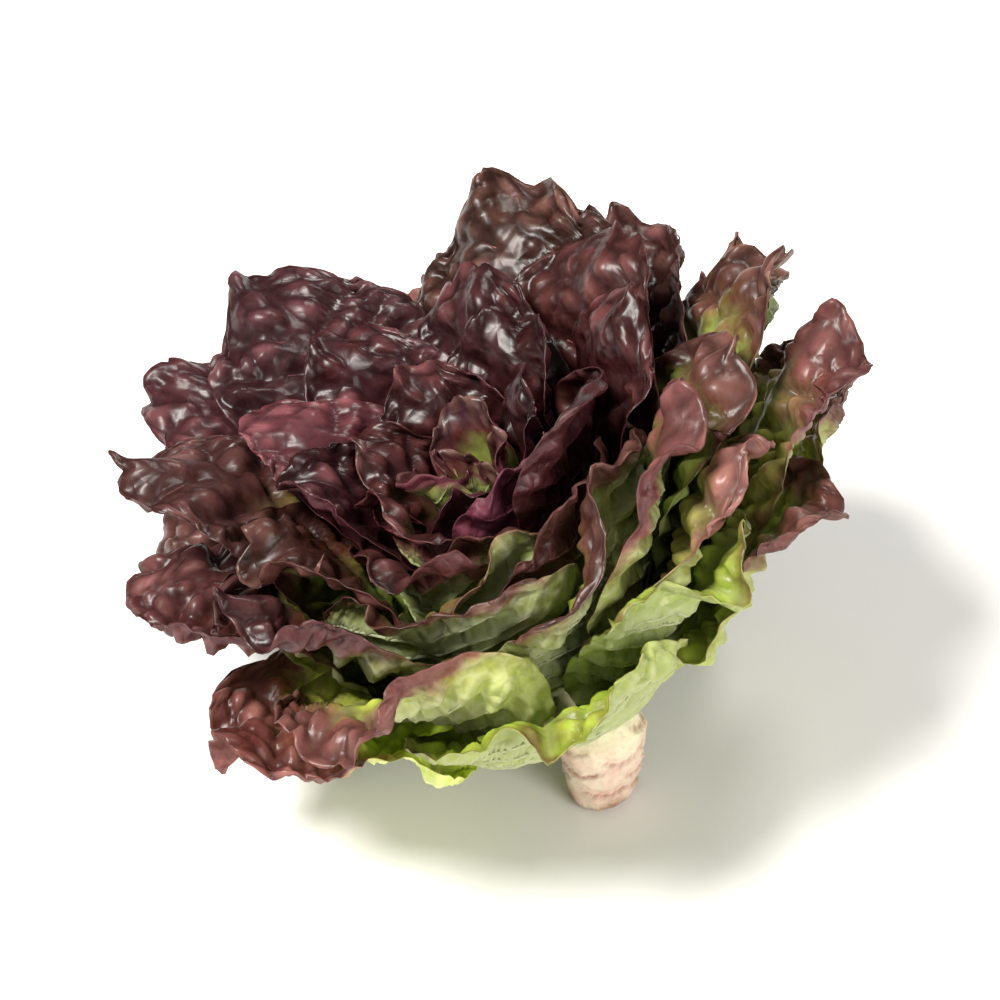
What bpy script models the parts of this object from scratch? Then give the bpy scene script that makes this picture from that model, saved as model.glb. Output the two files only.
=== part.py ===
"""Red oak leaf lettuce: one cut head, standing on its stump and leaning on its lowest leaves.

Metres, +Z up. The origin is the centre of the bottom of the bounding box, on the surface that
the head rests on. The stump stands upright, and above it the stem bends over to -X and +Y. The
leaves grow from the bent part, the lowest ones first. Each leaf is one closed solid: a grid of
points carried round the head's axis, ruffled at the rim, bent clear of its neighbours and of
the surface, and then given its thickness.
"""

import math
from dataclasses import dataclass

import bmesh
import bpy
import numpy as np
from mathutils import Matrix
from mathutils.bvhtree import BVHTree

HEAD_NAME = "red_oak_leaf_lettuce"

# The head leans over this way
HEAD_LEAN = (-0.418, 0.228, 0.880)

# Stem
STUMP_HEIGHT = 0.030
STUMP_FOOT_RADIUS = 0.0120
STUMP_TOP_RADIUS = 0.0150
STEM_ABOVE_STUMP = 0.062
STEM_TOP_RADIUS = 0.0045
STEM_TAPER_POWER = 0.8
STEM_BEND_HALF = 0.008
STEM_SIDES = 20
STEM_RINGS = 20
SCARS_ROUND = 5.0
SCAR_TURN = 900.0
SCAR_RELIEF = 0.0009
CUT_EDGE_ROUND = 0.0025
CUT_EDGE_INSET = 0.0015

# Leaves
BLADE_THICKNESS = 0.0009
FOOT_THICK_SHARE = 0.030
FOOT_WIDE_SHARE = 0.062
LEAF_GAP = 0.0004
STEM_MARGIN = 0.0014
RIB_REACH = 0.80
RIB_HALF_WIDTH = 0.35
MIDRIB_STEPS = 80
RECURVE_POWER = 1.2
CURL_START = 0.62
STALK_END = 0.12
BLADE_SPREAD = 0.48
END_START = 0.70
CORNER_TURN = math.radians(52.0)
LOBE_DEPTH = 0.09
LOBES_ALONG = 2.4
LEAST_TURN_RADIUS = 0.012

# Ruffles, rolls and sways, as shares of the half width unless they are angles
SWAY = 0.10
ROLL_OUT = 0.22
ROLL_IN = 0.16
TWIST = 0.16
RIM_POWER = 2.4
RIM_CENTRE = 0.45
RIM_ASPECT = 0.62
RIM_SHARE = 0.8
BULGE_SHARE = 0.4
BULGES_ALONG = 2.2

# Bending clear
STEP_FIRST = 0.0014
STEP_LAST = 0.0004
MOST_ROUNDS = 200
CLEARANCE = 0.0006
LEAST_CLEARANCE = 0.0003
GROW_ROUNDS = 70
SURFACE_LIFT = 0.0012
WAY_SHARE = 0.8
INNER_GIVE = 0.12
OPEN_GIVE = 0.70
OPEN_FROM = 40.0
OPEN_TO = 80.0
PUSH_GAIN = 1.8
STIFF_FOOT = 0.2
FOOT_GIVE = 0.3
SPREAD = 0.12
SPREAD_LEAST = 0.1

SEED = 411


@dataclass(frozen=True)
class Leaf:
    """One leaf: where it grows, how it opens, and its size. Angles in degrees, lengths in m."""

    name: str
    azimuth: float
    opening: float
    length: float
    width: float
    recurve: float
    cup: float
    curl: float
    foot: float
    foot_half_width: float
    foot_thickness: float
    rows: int
    columns: int
    ruffle: float
    waves: float


# Each row below is a leaf: azimuth round the head from +X, the opening of its tip from the axis
# and its reach, both from the top of the stump, width in mm, how far it turns outward on its
# way, its cup, and the curl of its tip
LOWER_LEAVES = (
    (154, 74, 132, 84, 16, 4, 14),
    (112, 84, 154, 94, 18, 4, 10),
    (72, 86, 156, 96, 16, 6, 10),
    (34, 69, 152, 102, 12, 8, 12),
    (352, 62, 122, 84, 6, 12, 24),
    (322, 52, 114, 92, -16, 20, 26),
    (266, 58, 108, 104, -24, 22, 28),
    (228, 55, 130, 104, -16, 26, 28),
    (190, 62, 134, 86, 4, 20, 30),
    (92, 70, 158, 106, 12, 8, 12),
    (134, 65, 156, 102, 12, 8, 14),
)
OUTER_LEAVES = (
    (324, 32, 126, 108, -20, 20, 24),
    (338, 50, 128, 80, 22, 14, 30),
    (18, 58, 160, 84, 16, 14, 20),
    (44, 58, 178, 98, 14, 6, 12),
    (88, 60, 168, 84, 10, 0, 24),
    (124, 54, 176, 84, 10, -2, 26),
    (154, 51, 178, 86, 8, 2, 22),
    (180, 48, 170, 88, 10, 6, 16),
    (208, 42, 150, 92, -4, 24, 28),
    (242, 32, 124, 104, -22, 22, 26),
    (284, 27, 112, 104, -22, 20, 22),
)
MIDDLE_LEAVES = (
    (30, 50, 178, 80, 12, 4, 20),
    (56, 46, 186, 88, 8, -2, 8),
    (72, 39, 204, 88, 4, -6, 14),
    (97, 41, 186, 78, 4, -6, 30),
    (120, 38, 210, 82, 4, -6, 26),
    (143, 39, 204, 80, 6, -6, 28),
    (168, 37, 188, 78, 4, -4, 30),
    (202, 32, 148, 72, 10, 20, 34),
    (238, 27, 122, 66, 0, 20, 30),
    (278, 24, 112, 64, -4, 20, 28),
    (312, 28, 122, 66, 0, 20, 34),
    (336, 37, 140, 76, 18, 18, 30),
    (4, 42, 146, 76, 14, 18, 24),
)
INNER_LEAVES = (
    (46, 34, 174, 82, 10, -12, 44),
    (18, 30, 154, 72, 10, -4, 32),
    (84, 29, 168, 58, 4, -10, 30),
    (116, 28, 168, 58, 4, -10, 34),
    (149, 28, 164, 58, 4, -8, 34),
    (184, 23, 144, 54, 8, 18, 34),
    (222, 18, 126, 48, 6, 18, 30),
    (262, 15, 114, 44, 4, 18, 26),
    (300, 18, 124, 46, 6, 18, 34),
    (340, 24, 142, 62, 12, 18, 28),
    (62, 20, 148, 56, 8, 16, 16),
    (104, 18, 142, 52, 8, 16, 16),
    (160, 15, 134, 48, 8, 16, 18),
    (20, 15, 132, 46, 8, 16, 18),
)
HEART_COUNT = 7
HEART_FIRST = (80, 11, 126, 34, 6, 8, 12)
HEART_LAST = (80, 2, 104, 18, 4, 4, 4)
GOLDEN_ANGLE = 137.5
FOOT_FIRST = 0.0015
FOOT_LAST = 0.052


def smooth(value):
    """Rises from 0 to 1 between 0 and 1, flat at both ends."""
    value = np.clip(value, 0.0, 1.0)
    return value * value * (3.0 - 2.0 * value)


def unit(vectors):
    """The vectors at length 1."""
    return vectors / np.maximum(np.linalg.norm(vectors, axis=-1, keepdims=True), 1e-12)


AXIS = unit(np.array(HEAD_LEAN))
SIDE = unit(np.array((1.0, 0.0, 0.0)) - AXIS[0] * AXIS)
BACK = np.cross(AXIS, SIDE)


def make_leaves():
    """All the leaves, the most open and lowest first and the heart last.

    A ring is its name, its leaves, its grid rows and columns, its ruffle in m and its waves.
    """
    rings = (
        ("lower_leaf", LOWER_LEAVES, 9, 8, 0.0105, 5.0),
        ("outer_leaf", OUTER_LEAVES, 9, 8, 0.0105, 5.0),
        ("middle_leaf", MIDDLE_LEAVES, 9, 8, 0.0060, 5.0),
        ("inner_leaf", INNER_LEAVES, 8, 6, 0.0050, 4.0),
        ("heart_leaf", heart_rows(), 6, 4, 0.0035, 3.0),
    )
    grown = [(ring, number, row) for ring in rings for number, row in enumerate(ring[1], 1)]
    grown.sort(key=lambda item: -item[2][1])
    leaves = []
    for place, ((ring, _, along, across, ruffle, waves), number, row) in enumerate(grown):
        azimuth, opening, reach, width, recurve, cup, curl = row
        foot = FOOT_FIRST + (FOOT_LAST - FOOT_FIRST) * place / (len(grown) - 1)
        out = math.sin(math.radians(opening)) * reach / 1000.0 - stem_radius(STUMP_HEIGHT + foot)
        up = math.cos(math.radians(opening)) * reach / 1000.0 - foot
        leaves.append(
            Leaf(
                name=f"{ring}_{number:02d}",
                azimuth=azimuth,
                opening=math.degrees(math.atan2(out, up)),
                length=math.hypot(out, up),
                width=width / 1000.0,
                recurve=recurve,
                cup=cup,
                curl=curl,
                foot=foot,
                foot_half_width=width / 1000.0 * FOOT_WIDE_SHARE,
                foot_thickness=width / 1000.0 * FOOT_THICK_SHARE,
                rows=along,
                columns=across,
                ruffle=ruffle,
                waves=waves,
            )
        )
    return leaves


def heart_rows():
    """The small leaves round the growing point, each a golden angle on from the last."""
    rows = []
    for number in range(HEART_COUNT):
        share = number / (HEART_COUNT - 1)
        row = [a + (b - a) * share for a, b in zip(HEART_FIRST, HEART_LAST)]
        row[0] = (HEART_FIRST[0] + GOLDEN_ANGLE * number) % 360.0
        rows.append(tuple(row))
    return tuple(rows)


def stem_spine(height):
    """The middle of the stem at a height along it: upright in the stump, then along the axis."""
    up = np.array((0.0, 0.0, 1.0))
    above = height - STUMP_HEIGHT
    if above <= 0.0:
        return up * height
    return up * STUMP_HEIGHT + AXIS * above


def stem_radius(height):
    """The stem's radius: a little thicker where the leaves begin, then tapering to the tip."""
    if height < STUMP_HEIGHT:
        grown = height / STUMP_HEIGHT
        return STUMP_FOOT_RADIUS + (STUMP_TOP_RADIUS - STUMP_FOOT_RADIUS) * float(smooth(grown))
    left = 1.0 - (height - STUMP_HEIGHT) / STEM_ABOVE_STUMP
    return STEM_TOP_RADIUS + (STUMP_TOP_RADIUS - STEM_TOP_RADIUS) * max(left, 0.0) ** STEM_TAPER_POWER


def midrib(leaf):
    """Distance from the axis and height above the foot at even steps, ending at the leaf's tip."""
    share = (np.arange(MIDRIB_STEPS) + 0.5) / MIDRIB_STEPS
    tip = smooth((share - CURL_START) / (1.0 - CURL_START))
    turn = np.radians(leaf.recurve * share**RECURVE_POWER + leaf.curl * tip)
    out = np.concatenate(([0.0], np.cumsum(np.sin(turn))))
    up = np.concatenate(([0.0], np.cumsum(np.cos(turn))))
    swing = math.radians(leaf.opening) - math.atan2(out[-1], up[-1])
    scale = leaf.length / math.hypot(out[-1], up[-1])
    start = stem_radius(STUMP_HEIGHT + leaf.foot) + LEAF_GAP + leaf.foot_thickness * 0.5
    distance = (out * math.cos(swing) + up * math.sin(swing)) * scale
    height = (up * math.cos(swing) - out * math.sin(swing)) * scale
    return distance + start, height


def leaf_cage(leaf, number):
    """The leaf's middle surface from foot to tip and side to side, and what its ruffles add."""
    draw = np.random.default_rng(SEED + number)
    along = np.linspace(0.0, 1.0, leaf.rows + 1)[:, None]
    across = np.linspace(-1.0, 1.0, leaf.columns + 1)[None, :]
    half = blade_half_width(leaf, along, draw)
    place = along - round_sag(along, across)
    out, up = midrib(leaf)
    where = np.linspace(0.0, 1.0, len(out))
    distance = np.interp(place, where, out)
    height = np.interp(place, where, up)
    sway = draw.uniform(-SWAY, SWAY)
    spread = half * across / np.maximum(distance, LEAST_TURN_RADIUS)
    turn = math.radians(leaf.azimuth) + sway * along**2 + spread
    foot = stem_spine(STUMP_HEIGHT + leaf.foot)
    points = (
        foot
        + AXIS * height[..., None]
        + SIDE * (distance * np.cos(turn))[..., None]
        + BACK * (distance * np.sin(turn))[..., None]
    )
    cup, ruffle = blade_lift(leaf, along, across, half, draw)
    normals = grid_normals(points)
    return points + normals * cup[..., None], normals * ruffle[..., None]


def end_share(along):
    """How far along the round end of the blade a row is, from 0 where it starts to 1."""
    return np.clip((along - END_START) / (1.0 - END_START), 0.0, 1.0)


def round_sag(along, across):
    """How far each point of a row falls behind the midrib, so that the end is half an ellipse."""
    share = end_share(along)
    fall = 1.0 - np.sqrt(1.0 - (across * math.cos(CORNER_TURN)) ** 2)
    fall = fall / (1.0 - math.sin(CORNER_TURN))
    return (1.0 - END_START) * (share - np.sin(share * CORNER_TURN)) * fall


def blade_half_width(leaf, along, draw):
    """Half the blade's width along the leaf: a slim foot, a broad blade and shallow lobes."""
    blade = smooth((along - STALK_END) / BLADE_SPREAD)
    round_end = np.cos(end_share(along) * CORNER_TURN)
    phase = draw.uniform(0.0, 2.0 * math.pi)
    lobes = 1.0 + LOBE_DEPTH * np.sin(2.0 * math.pi * LOBES_ALONG * along + phase) * smooth(along)
    foot = leaf.foot_half_width
    return foot + (leaf.width / 2.0 - foot) * blade * round_end * lobes


def blade_lift(leaf, along, across, half, draw):
    """How far the blade stands off its smooth surface: cup, twist and the ruffled rim."""
    cup = math.radians(leaf.cup) * half * across**2
    roll = draw.uniform(-ROLL_OUT, ROLL_IN) * half * across**4 * smooth(along)
    twist = draw.uniform(-TWIST, TWIST) * half * across * smooth(along)
    angle = np.arctan2(across * RIM_ASPECT, along - RIM_CENTRE)
    rim = np.maximum(np.abs(across), 2.0 * along - 1.0) ** RIM_POWER
    rim = rim * smooth((along - STALK_END) / BLADE_SPREAD)
    phase = draw.uniform(0.0, 2.0 * math.pi)
    wave = np.sin(leaf.waves * angle + phase)
    wave = wave + 0.5 * np.sin((leaf.waves + 2.0) * angle + 2.0 * phase)
    bulge = np.sin(math.pi * along * BULGES_ALONG + phase) * (1.0 - np.abs(across)) * smooth(along)
    return cup, roll + twist + leaf.ruffle * (rim * wave * RIM_SHARE + bulge * BULGE_SHARE)


def grid_normals(points):
    """The direction out of each grid point on the leaf's upper side."""
    along = np.gradient(points, axis=0)
    across = np.gradient(points, axis=1)
    return unit(np.cross(along, across))


def leaf_shell(leaf, points, extra=0.0):
    """The leaf's points with thickness and any extra: the upper side's, then the lower side's."""
    normals = grid_normals(points)
    along = np.linspace(0.0, 1.0, leaf.rows + 1)[:, None]
    across = np.linspace(-1.0, 1.0, leaf.columns + 1)[None, :]
    rib = np.clip(1.0 - along / RIB_REACH, 0.0, 1.0) * np.exp(-((across / RIB_HALF_WIDTH) ** 2))
    thick = BLADE_THICKNESS + max(leaf.foot_thickness - BLADE_THICKNESS, 0.0) * rib
    upper = points + normals * (BLADE_THICKNESS * 0.5 + extra * 0.5)
    lower = points - normals * (thick - BLADE_THICKNESS * 0.5 + extra * 0.5)[..., None]
    return np.concatenate((upper.reshape(-1, 3), lower.reshape(-1, 3)))


def shell_faces(rows, columns):
    """Triangles of a leaf's shell, split alike on both sides and walled round the rim."""
    wide = columns + 1
    count = (rows + 1) * wide
    faces = []
    for i in range(rows):
        for j in range(columns):
            a = i * wide + j
            b = a + wide
            c = b + 1
            d = a + 1
            faces += [(a, b, c), (a, c, d)]
            faces += [(a + count, c + count, b + count), (a + count, d + count, c + count)]
    rim = [i * wide for i in range(rows)]
    rim += [rows * wide + j for j in range(columns)]
    rim += [i * wide + columns for i in range(rows, 0, -1)]
    rim += [j for j in range(columns, 0, -1)]
    for p, q in zip(rim, rim[1:] + rim[:1]):
        faces += [(q, p, p + count), (q, p + count, q + count)]
    return faces


def soften(field):
    """Spreads a grid of pushes or moves to its neighbours."""
    padded = np.concatenate((field[:1], field, field[-1:]))
    rows = (padded[:-2] + 2.0 * padded[1:-1] + padded[2:]) / 4.0
    padded = np.concatenate((rows[:, :1], rows, rows[:, -1:]), axis=1)
    return (padded[:, :-2] + 2.0 * padded[:, 1:-1] + padded[:, 2:]) / 4.0


def inward(leaf):
    """The way from the leaf towards the head's axis and up, square to the leaf's run."""
    turn = math.radians(leaf.azimuth)
    opening = math.radians(leaf.opening)
    out = SIDE * math.cos(turn) + BACK * math.sin(turn)
    return AXIS * math.sin(opening) - out * math.cos(opening)


def keep_above_surface(points):
    """Lifts the points that would go through the surface, so that low leaves lie on it."""
    points[..., 2] = np.maximum(points[..., 2], SURFACE_LIFT)


def keep_off_stem(leaf, points):
    """Moves the points near the foot out of the stem, square to its run."""
    up = np.array((0.0, 0.0, 1.0))
    top = up * STUMP_HEIGHT
    for start, way, first, last in (
        (np.zeros(3), up, 0.0, STUMP_HEIGHT),
        (top, AXIS, STUMP_HEIGHT, STUMP_HEIGHT + STEM_ABOVE_STUMP),
    ):
        along = (points - start) @ way
        out = points - start - along[..., None] * way
        distance = np.linalg.norm(out, axis=-1, keepdims=True)
        height = np.clip(along + first, first, last)
        radius = np.vectorize(stem_radius)(height) + STEM_MARGIN
        beside = (along > -STEM_MARGIN) & (along < last - first + STEM_MARGIN)
        short = np.where(beside, np.maximum(radius - distance[..., 0], 0.0), 0.0)
        points += out / np.maximum(distance, 1e-9) * short[..., None]


def crossing_pushes(leaves, cages, faces, corners, clearance):
    """Where each leaf is crossed, from leaves inside it and from leaves outside it."""
    shells = [leaf_shell(leaf, cage, clearance) for leaf, cage in zip(leaves, cages)]
    trees = [BVHTree.FromPolygons(s.tolist(), f) for s, f in zip(shells, faces)]
    lows = np.array([s.min(axis=0) for s in shells])
    highs = np.array([s.max(axis=0) for s in shells])
    outward = [np.zeros(cage.shape[:2]) for cage in cages]
    inner = [np.zeros(cage.shape[:2]) for cage in cages]
    crossing = 0
    for i in range(len(leaves)):
        near = np.all((lows[i] <= highs[i + 1 :]) & (highs[i] >= lows[i + 1 :]), axis=1)
        for j in np.nonzero(near)[0] + i + 1:
            pairs = trees[i].overlap(trees[j])
            if pairs:
                crossing += 1
                pairs = np.array(pairs)
                outward[i].ravel()[corners[i][pairs[:, 0]].ravel()] = 1.0
                inner[j].ravel()[corners[j][pairs[:, 1]].ravel()] = 1.0
    return outward, inner, crossing


def bend_clear(leaves, plains, reliefs):
    """Grows the ruffles on the plain leaves and moves crossing leaves apart as they grow.

    The outer leaf of a pair gives way outward, and the inner one gives way a little.
    """
    faces = [shell_faces(leaf.rows, leaf.columns) for leaf in leaves]
    corners = [np.array(f) % ((l.rows + 1) * (l.columns + 1)) for f, l in zip(faces, leaves)]
    aims = [unit(grid_normals(p) + inward(leaf) * WAY_SHARE) for leaf, p in zip(leaves, plains)]
    moves = [np.zeros_like(plain) for plain in plains]
    cages = [plain.copy() for plain in plains]
    for turn in range(MOST_ROUNDS):
        grown = min(turn / GROW_ROUNDS, 1.0)
        clearance = CLEARANCE if turn < GROW_ROUNDS else LEAST_CLEARANCE
        for k, leaf in enumerate(leaves):
            cages[k] = plains[k] + reliefs[k] * grown + moves[k]
            keep_off_stem(leaf, cages[k])
            keep_above_surface(cages[k])
        outward, inner, crossing = crossing_pushes(leaves, cages, faces, corners, clearance)
        if grown >= 1.0 and not crossing:
            break
        step = STEP_FIRST + (STEP_LAST - STEP_FIRST) * turn / MOST_ROUNDS
        spread = SPREAD * max(1.0 - grown, SPREAD_LEAST)
        for k, leaf in enumerate(leaves):
            if not (outward[k].any() or inner[k].any()):
                continue
            give = INNER_GIVE + OPEN_GIVE * smooth((leaf.opening - OPEN_FROM) / (OPEN_TO - OPEN_FROM))
            push = inner[k] * give - outward[k]
            field = np.clip(soften(push) * PUSH_GAIN, -1.0, 1.0)
            free = smooth(np.linspace(0.0, 1.0, leaf.rows + 1) / STIFF_FOOT)[:, None]
            free = FOOT_GIVE + (1.0 - FOOT_GIVE) * free
            move = cages[k] - plains[k] - reliefs[k] * grown
            move += aims[k] * (field * free * step)[..., None]
            moves[k] = move * (1.0 - spread) + soften(move) * spread
    return cages


def make_material(name, colour, roughness):
    """A plain finish in one colour."""
    material = bpy.data.materials.new(name)
    material.use_nodes = True
    shader = material.node_tree.nodes["Principled BSDF"]
    shader.inputs["Base Color"].default_value = (*colour, 1.0)
    shader.inputs["Roughness"].default_value = roughness
    shader.inputs["Metallic"].default_value = 0.0
    return material


def make_object(name, points, faces, material, collection):
    """A closed solid from its points and faces, shaded smooth."""
    mesh = bpy.data.meshes.new(name)
    mesh.from_pydata([tuple(p) for p in points], [], faces)
    mesh.materials.append(material)
    mesh.shade_smooth()
    thing = bpy.data.objects.new(name, mesh)
    collection.objects.link(thing)
    return thing


def stem_points():
    """Rings of points up the stem, raised where old leaves left their scars."""
    heights = np.linspace(0.0, STUMP_HEIGHT + STEM_ABOVE_STUMP, STEM_RINGS)
    turns = np.arange(STEM_SIDES) * 2.0 * math.pi / STEM_SIDES
    rings = []
    for height in heights:
        radius = stem_radius(height)
        if height < CUT_EDGE_ROUND:
            radius -= CUT_EDGE_INSET
        lean = float(smooth((height - STUMP_HEIGHT + STEM_BEND_HALF) / (2.0 * STEM_BEND_HALF)))
        normal = unit(np.array((0.0, 0.0, 1.0)) * (1.0 - lean) + AXIS * lean)
        side = unit(np.array((1.0, 0.0, 0.0)) - normal[0] * normal)
        back = np.cross(normal, side)
        scarred = float(CUT_EDGE_ROUND < height < STUMP_HEIGHT)
        scars = np.sin(SCARS_ROUND * turns + height * SCAR_TURN) * SCAR_RELIEF * scarred
        spread = (radius + scars)[:, None]
        rings.append(
            stem_spine(height)
            + side * np.cos(turns)[:, None] * spread
            + back * np.sin(turns)[:, None] * spread
        )
    return rings


def make_stem(collection):
    """The stem: stump, bend and taper as one lofted solid, closed at both ends."""
    rings = stem_points()
    mesh = bmesh.new()
    loops = [[mesh.verts.new(tuple(p)) for p in ring] for ring in rings]
    for low, high in zip(loops, loops[1:]):
        for k in range(STEM_SIDES):
            n = (k + 1) % STEM_SIDES
            mesh.faces.new((low[k], low[n], high[n], high[k]))
    mesh.faces.new(list(reversed(loops[0])))
    mesh.faces.new(loops[-1])
    bmesh.ops.triangulate(mesh, faces=mesh.faces)
    data = bpy.data.meshes.new("stem")
    mesh.to_mesh(data)
    mesh.free()
    data.materials.append(make_material("stem_flesh", (0.72, 0.62, 0.47), 0.55))
    thing = bpy.data.objects.new("stem", data)
    collection.objects.link(thing)
    return thing


LEAF_FINISHES = {
    "lower_leaf": ((0.16, 0.20, 0.05), 0.42),
    "outer_leaf": ((0.17, 0.05, 0.05), 0.36),
    "middle_leaf": ((0.11, 0.025, 0.035), 0.34),
    "inner_leaf": ((0.13, 0.02, 0.045), 0.32),
    "heart_leaf": ((0.30, 0.30, 0.07), 0.40),
}


def clear_scene():
    """Removes what the scene holds."""
    for thing in list(bpy.data.objects):
        bpy.data.objects.remove(thing, do_unlink=True)


def main():
    """Builds the stem and every leaf, and stands the head on its origin."""
    clear_scene()
    collection = bpy.data.collections.new(HEAD_NAME)
    bpy.context.scene.collection.children.link(collection)
    things = [make_stem(collection)]
    leaves = make_leaves()
    plains, reliefs = zip(*[leaf_cage(leaf, number) for number, leaf in enumerate(leaves)])
    for leaf, cage in zip(leaves, bend_clear(leaves, plains, reliefs)):
        colour, roughness = LEAF_FINISHES[leaf.name.rsplit("_", 1)[0]]
        material = make_material(leaf.name, colour, roughness)
        shell = leaf_shell(leaf, cage)
        faces = shell_faces(leaf.rows, leaf.columns)
        things.append(make_object(leaf.name, shell, faces, material, collection))
    points = np.concatenate([[v.co[:] for v in thing.data.vertices] for thing in things])
    low = points.min(axis=0)
    high = points.max(axis=0)
    shift = Matrix.Translation((-(low[0] + high[0]) / 2.0, -(low[1] + high[1]) / 2.0, -low[2]))
    for thing in things:
        thing.data.transform(shift)


main()
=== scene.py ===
"""Looks of a cut head of red oak leaf lettuce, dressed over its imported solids.

The head stands on its stump and leans on its lowest leaves, as the solids do. Every leaf is grown
again from the sizes that its solid has, on a finer grid, and then gets what only the eye needs:
lobes and frills at the rim, blisters between the veins, ribs under the blade and its colours.
Metres, +Z up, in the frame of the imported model.
"""

import logging
import math
from dataclasses import dataclass
from enum import Enum

import bpy
import numpy as np
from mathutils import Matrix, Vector
from mathutils.bvhtree import BVHTree


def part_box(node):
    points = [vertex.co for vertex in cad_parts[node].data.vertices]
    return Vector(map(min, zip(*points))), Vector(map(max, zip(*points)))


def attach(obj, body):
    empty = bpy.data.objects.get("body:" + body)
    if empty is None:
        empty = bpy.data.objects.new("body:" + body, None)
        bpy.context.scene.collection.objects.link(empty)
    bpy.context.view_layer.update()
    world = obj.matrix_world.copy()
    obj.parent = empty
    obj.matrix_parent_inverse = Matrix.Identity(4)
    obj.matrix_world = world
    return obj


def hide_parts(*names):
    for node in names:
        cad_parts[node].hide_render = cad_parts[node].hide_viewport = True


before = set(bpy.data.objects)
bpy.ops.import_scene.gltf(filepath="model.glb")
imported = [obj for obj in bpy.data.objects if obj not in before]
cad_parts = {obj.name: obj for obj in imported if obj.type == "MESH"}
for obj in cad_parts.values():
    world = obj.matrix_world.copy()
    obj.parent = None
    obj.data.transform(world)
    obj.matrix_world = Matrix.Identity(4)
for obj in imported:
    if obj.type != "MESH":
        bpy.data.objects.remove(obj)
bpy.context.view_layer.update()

LOG = logging.getLogger("lettuce")
MM = 0.001
TINY = 1e-12
GOLDEN_ANGLE = 137.5
Colour = tuple[float, float, float]
Paths = list[tuple[np.ndarray, np.ndarray, float]]
Socket = bpy.types.NodeSocket
BLACK, WHITE = (0.0, 0.0, 0.0), (1.0, 1.0, 1.0)


class Ring(Enum):
    """The rings of leaves, by the names that their nodes and material slots begin with."""

    LOWER = "lower_leaf"
    OUTER = "outer_leaf"
    MIDDLE = "middle_leaf"
    INNER = "inner_leaf"
    HEART = "heart_leaf"


class Face(Enum):
    """The two faces of a blade, as the shader reads them."""

    UPPER = 0.0
    LOWER = 1.0


def smooth(value: np.ndarray | float) -> np.ndarray:
    """Rises from 0 to 1 between 0 and 1, flat at both ends."""
    value = np.clip(value, 0.0, 1.0)
    return value * value * (3.0 - 2.0 * value)


def bell(value: np.ndarray, width: np.ndarray | float) -> np.ndarray:
    """Falls from 1 at zero towards 0 on both sides, over a width."""
    return np.exp(-((value / width) ** 2))


def unit(vectors: np.ndarray) -> np.ndarray:
    """Scales the vectors in the last axis to length 1."""
    return vectors / np.maximum(np.linalg.norm(vectors, axis=-1, keepdims=True), TINY)


def grid_normals(points: np.ndarray) -> np.ndarray:
    """The unit way out of each point of a foot-to-tip grid, on the leaf's upper face."""
    return unit(np.cross(np.gradient(points, axis=0), np.gradient(points, axis=1)))


def soften(field: np.ndarray) -> np.ndarray:
    """Spreads a grid of pushes or moves to its neighbours, down the rows and then across.

    Args:
        field: the grid.

    Returns:
        The spread grid.
    """
    for _ in range(2):
        padded = np.concatenate((field[:1], field, field[-1:]))
        field = ((padded[:-2] + 2.0 * padded[1:-1] + padded[2:]) / 4.0).swapaxes(0, 1)
    return field


AXIS = unit(np.array((-0.418, 0.228, 0.880)))
SIDE = unit(np.array((1.0, 0.0, 0.0)) - AXIS[0] * AXIS)
BACK = np.cross(AXIS, SIDE)
UP = np.array((0.0, 0.0, 1.0))


@dataclass(frozen=True)
class Leaf:
    """One leaf: where it grows, how it opens, and its size. Angles in degrees, lengths in m."""

    name: str
    azimuth: float
    opening: float
    length: float
    width: float
    recurve: float
    cup: float
    curl: float
    foot: float
    foot_half_width: float
    foot_thickness: float
    rows: int
    columns: int
    ruffle: float
    waves: float

    @property
    def ring(self) -> Ring:
        """The ring that the leaf grows in."""
        return Ring(self.name.rsplit("_", 1)[0])

    def grid(self) -> tuple[np.ndarray, np.ndarray]:
        """Shares from foot to tip as a column, and from side to side as a row."""
        along = np.linspace(0.0, 1.0, self.rows + 1)[:, None]
        return along, np.linspace(-1.0, 1.0, self.columns + 1)[None, :]

    def inward(self) -> np.ndarray:
        """The way from the leaf towards the head's axis and up, square to the leaf's run."""
        turn = math.radians(self.azimuth)
        opening = math.radians(self.opening)
        out = SIDE * math.cos(turn) + BACK * math.sin(turn)
        return AXIS * math.sin(opening) - out * math.cos(opening)


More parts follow.
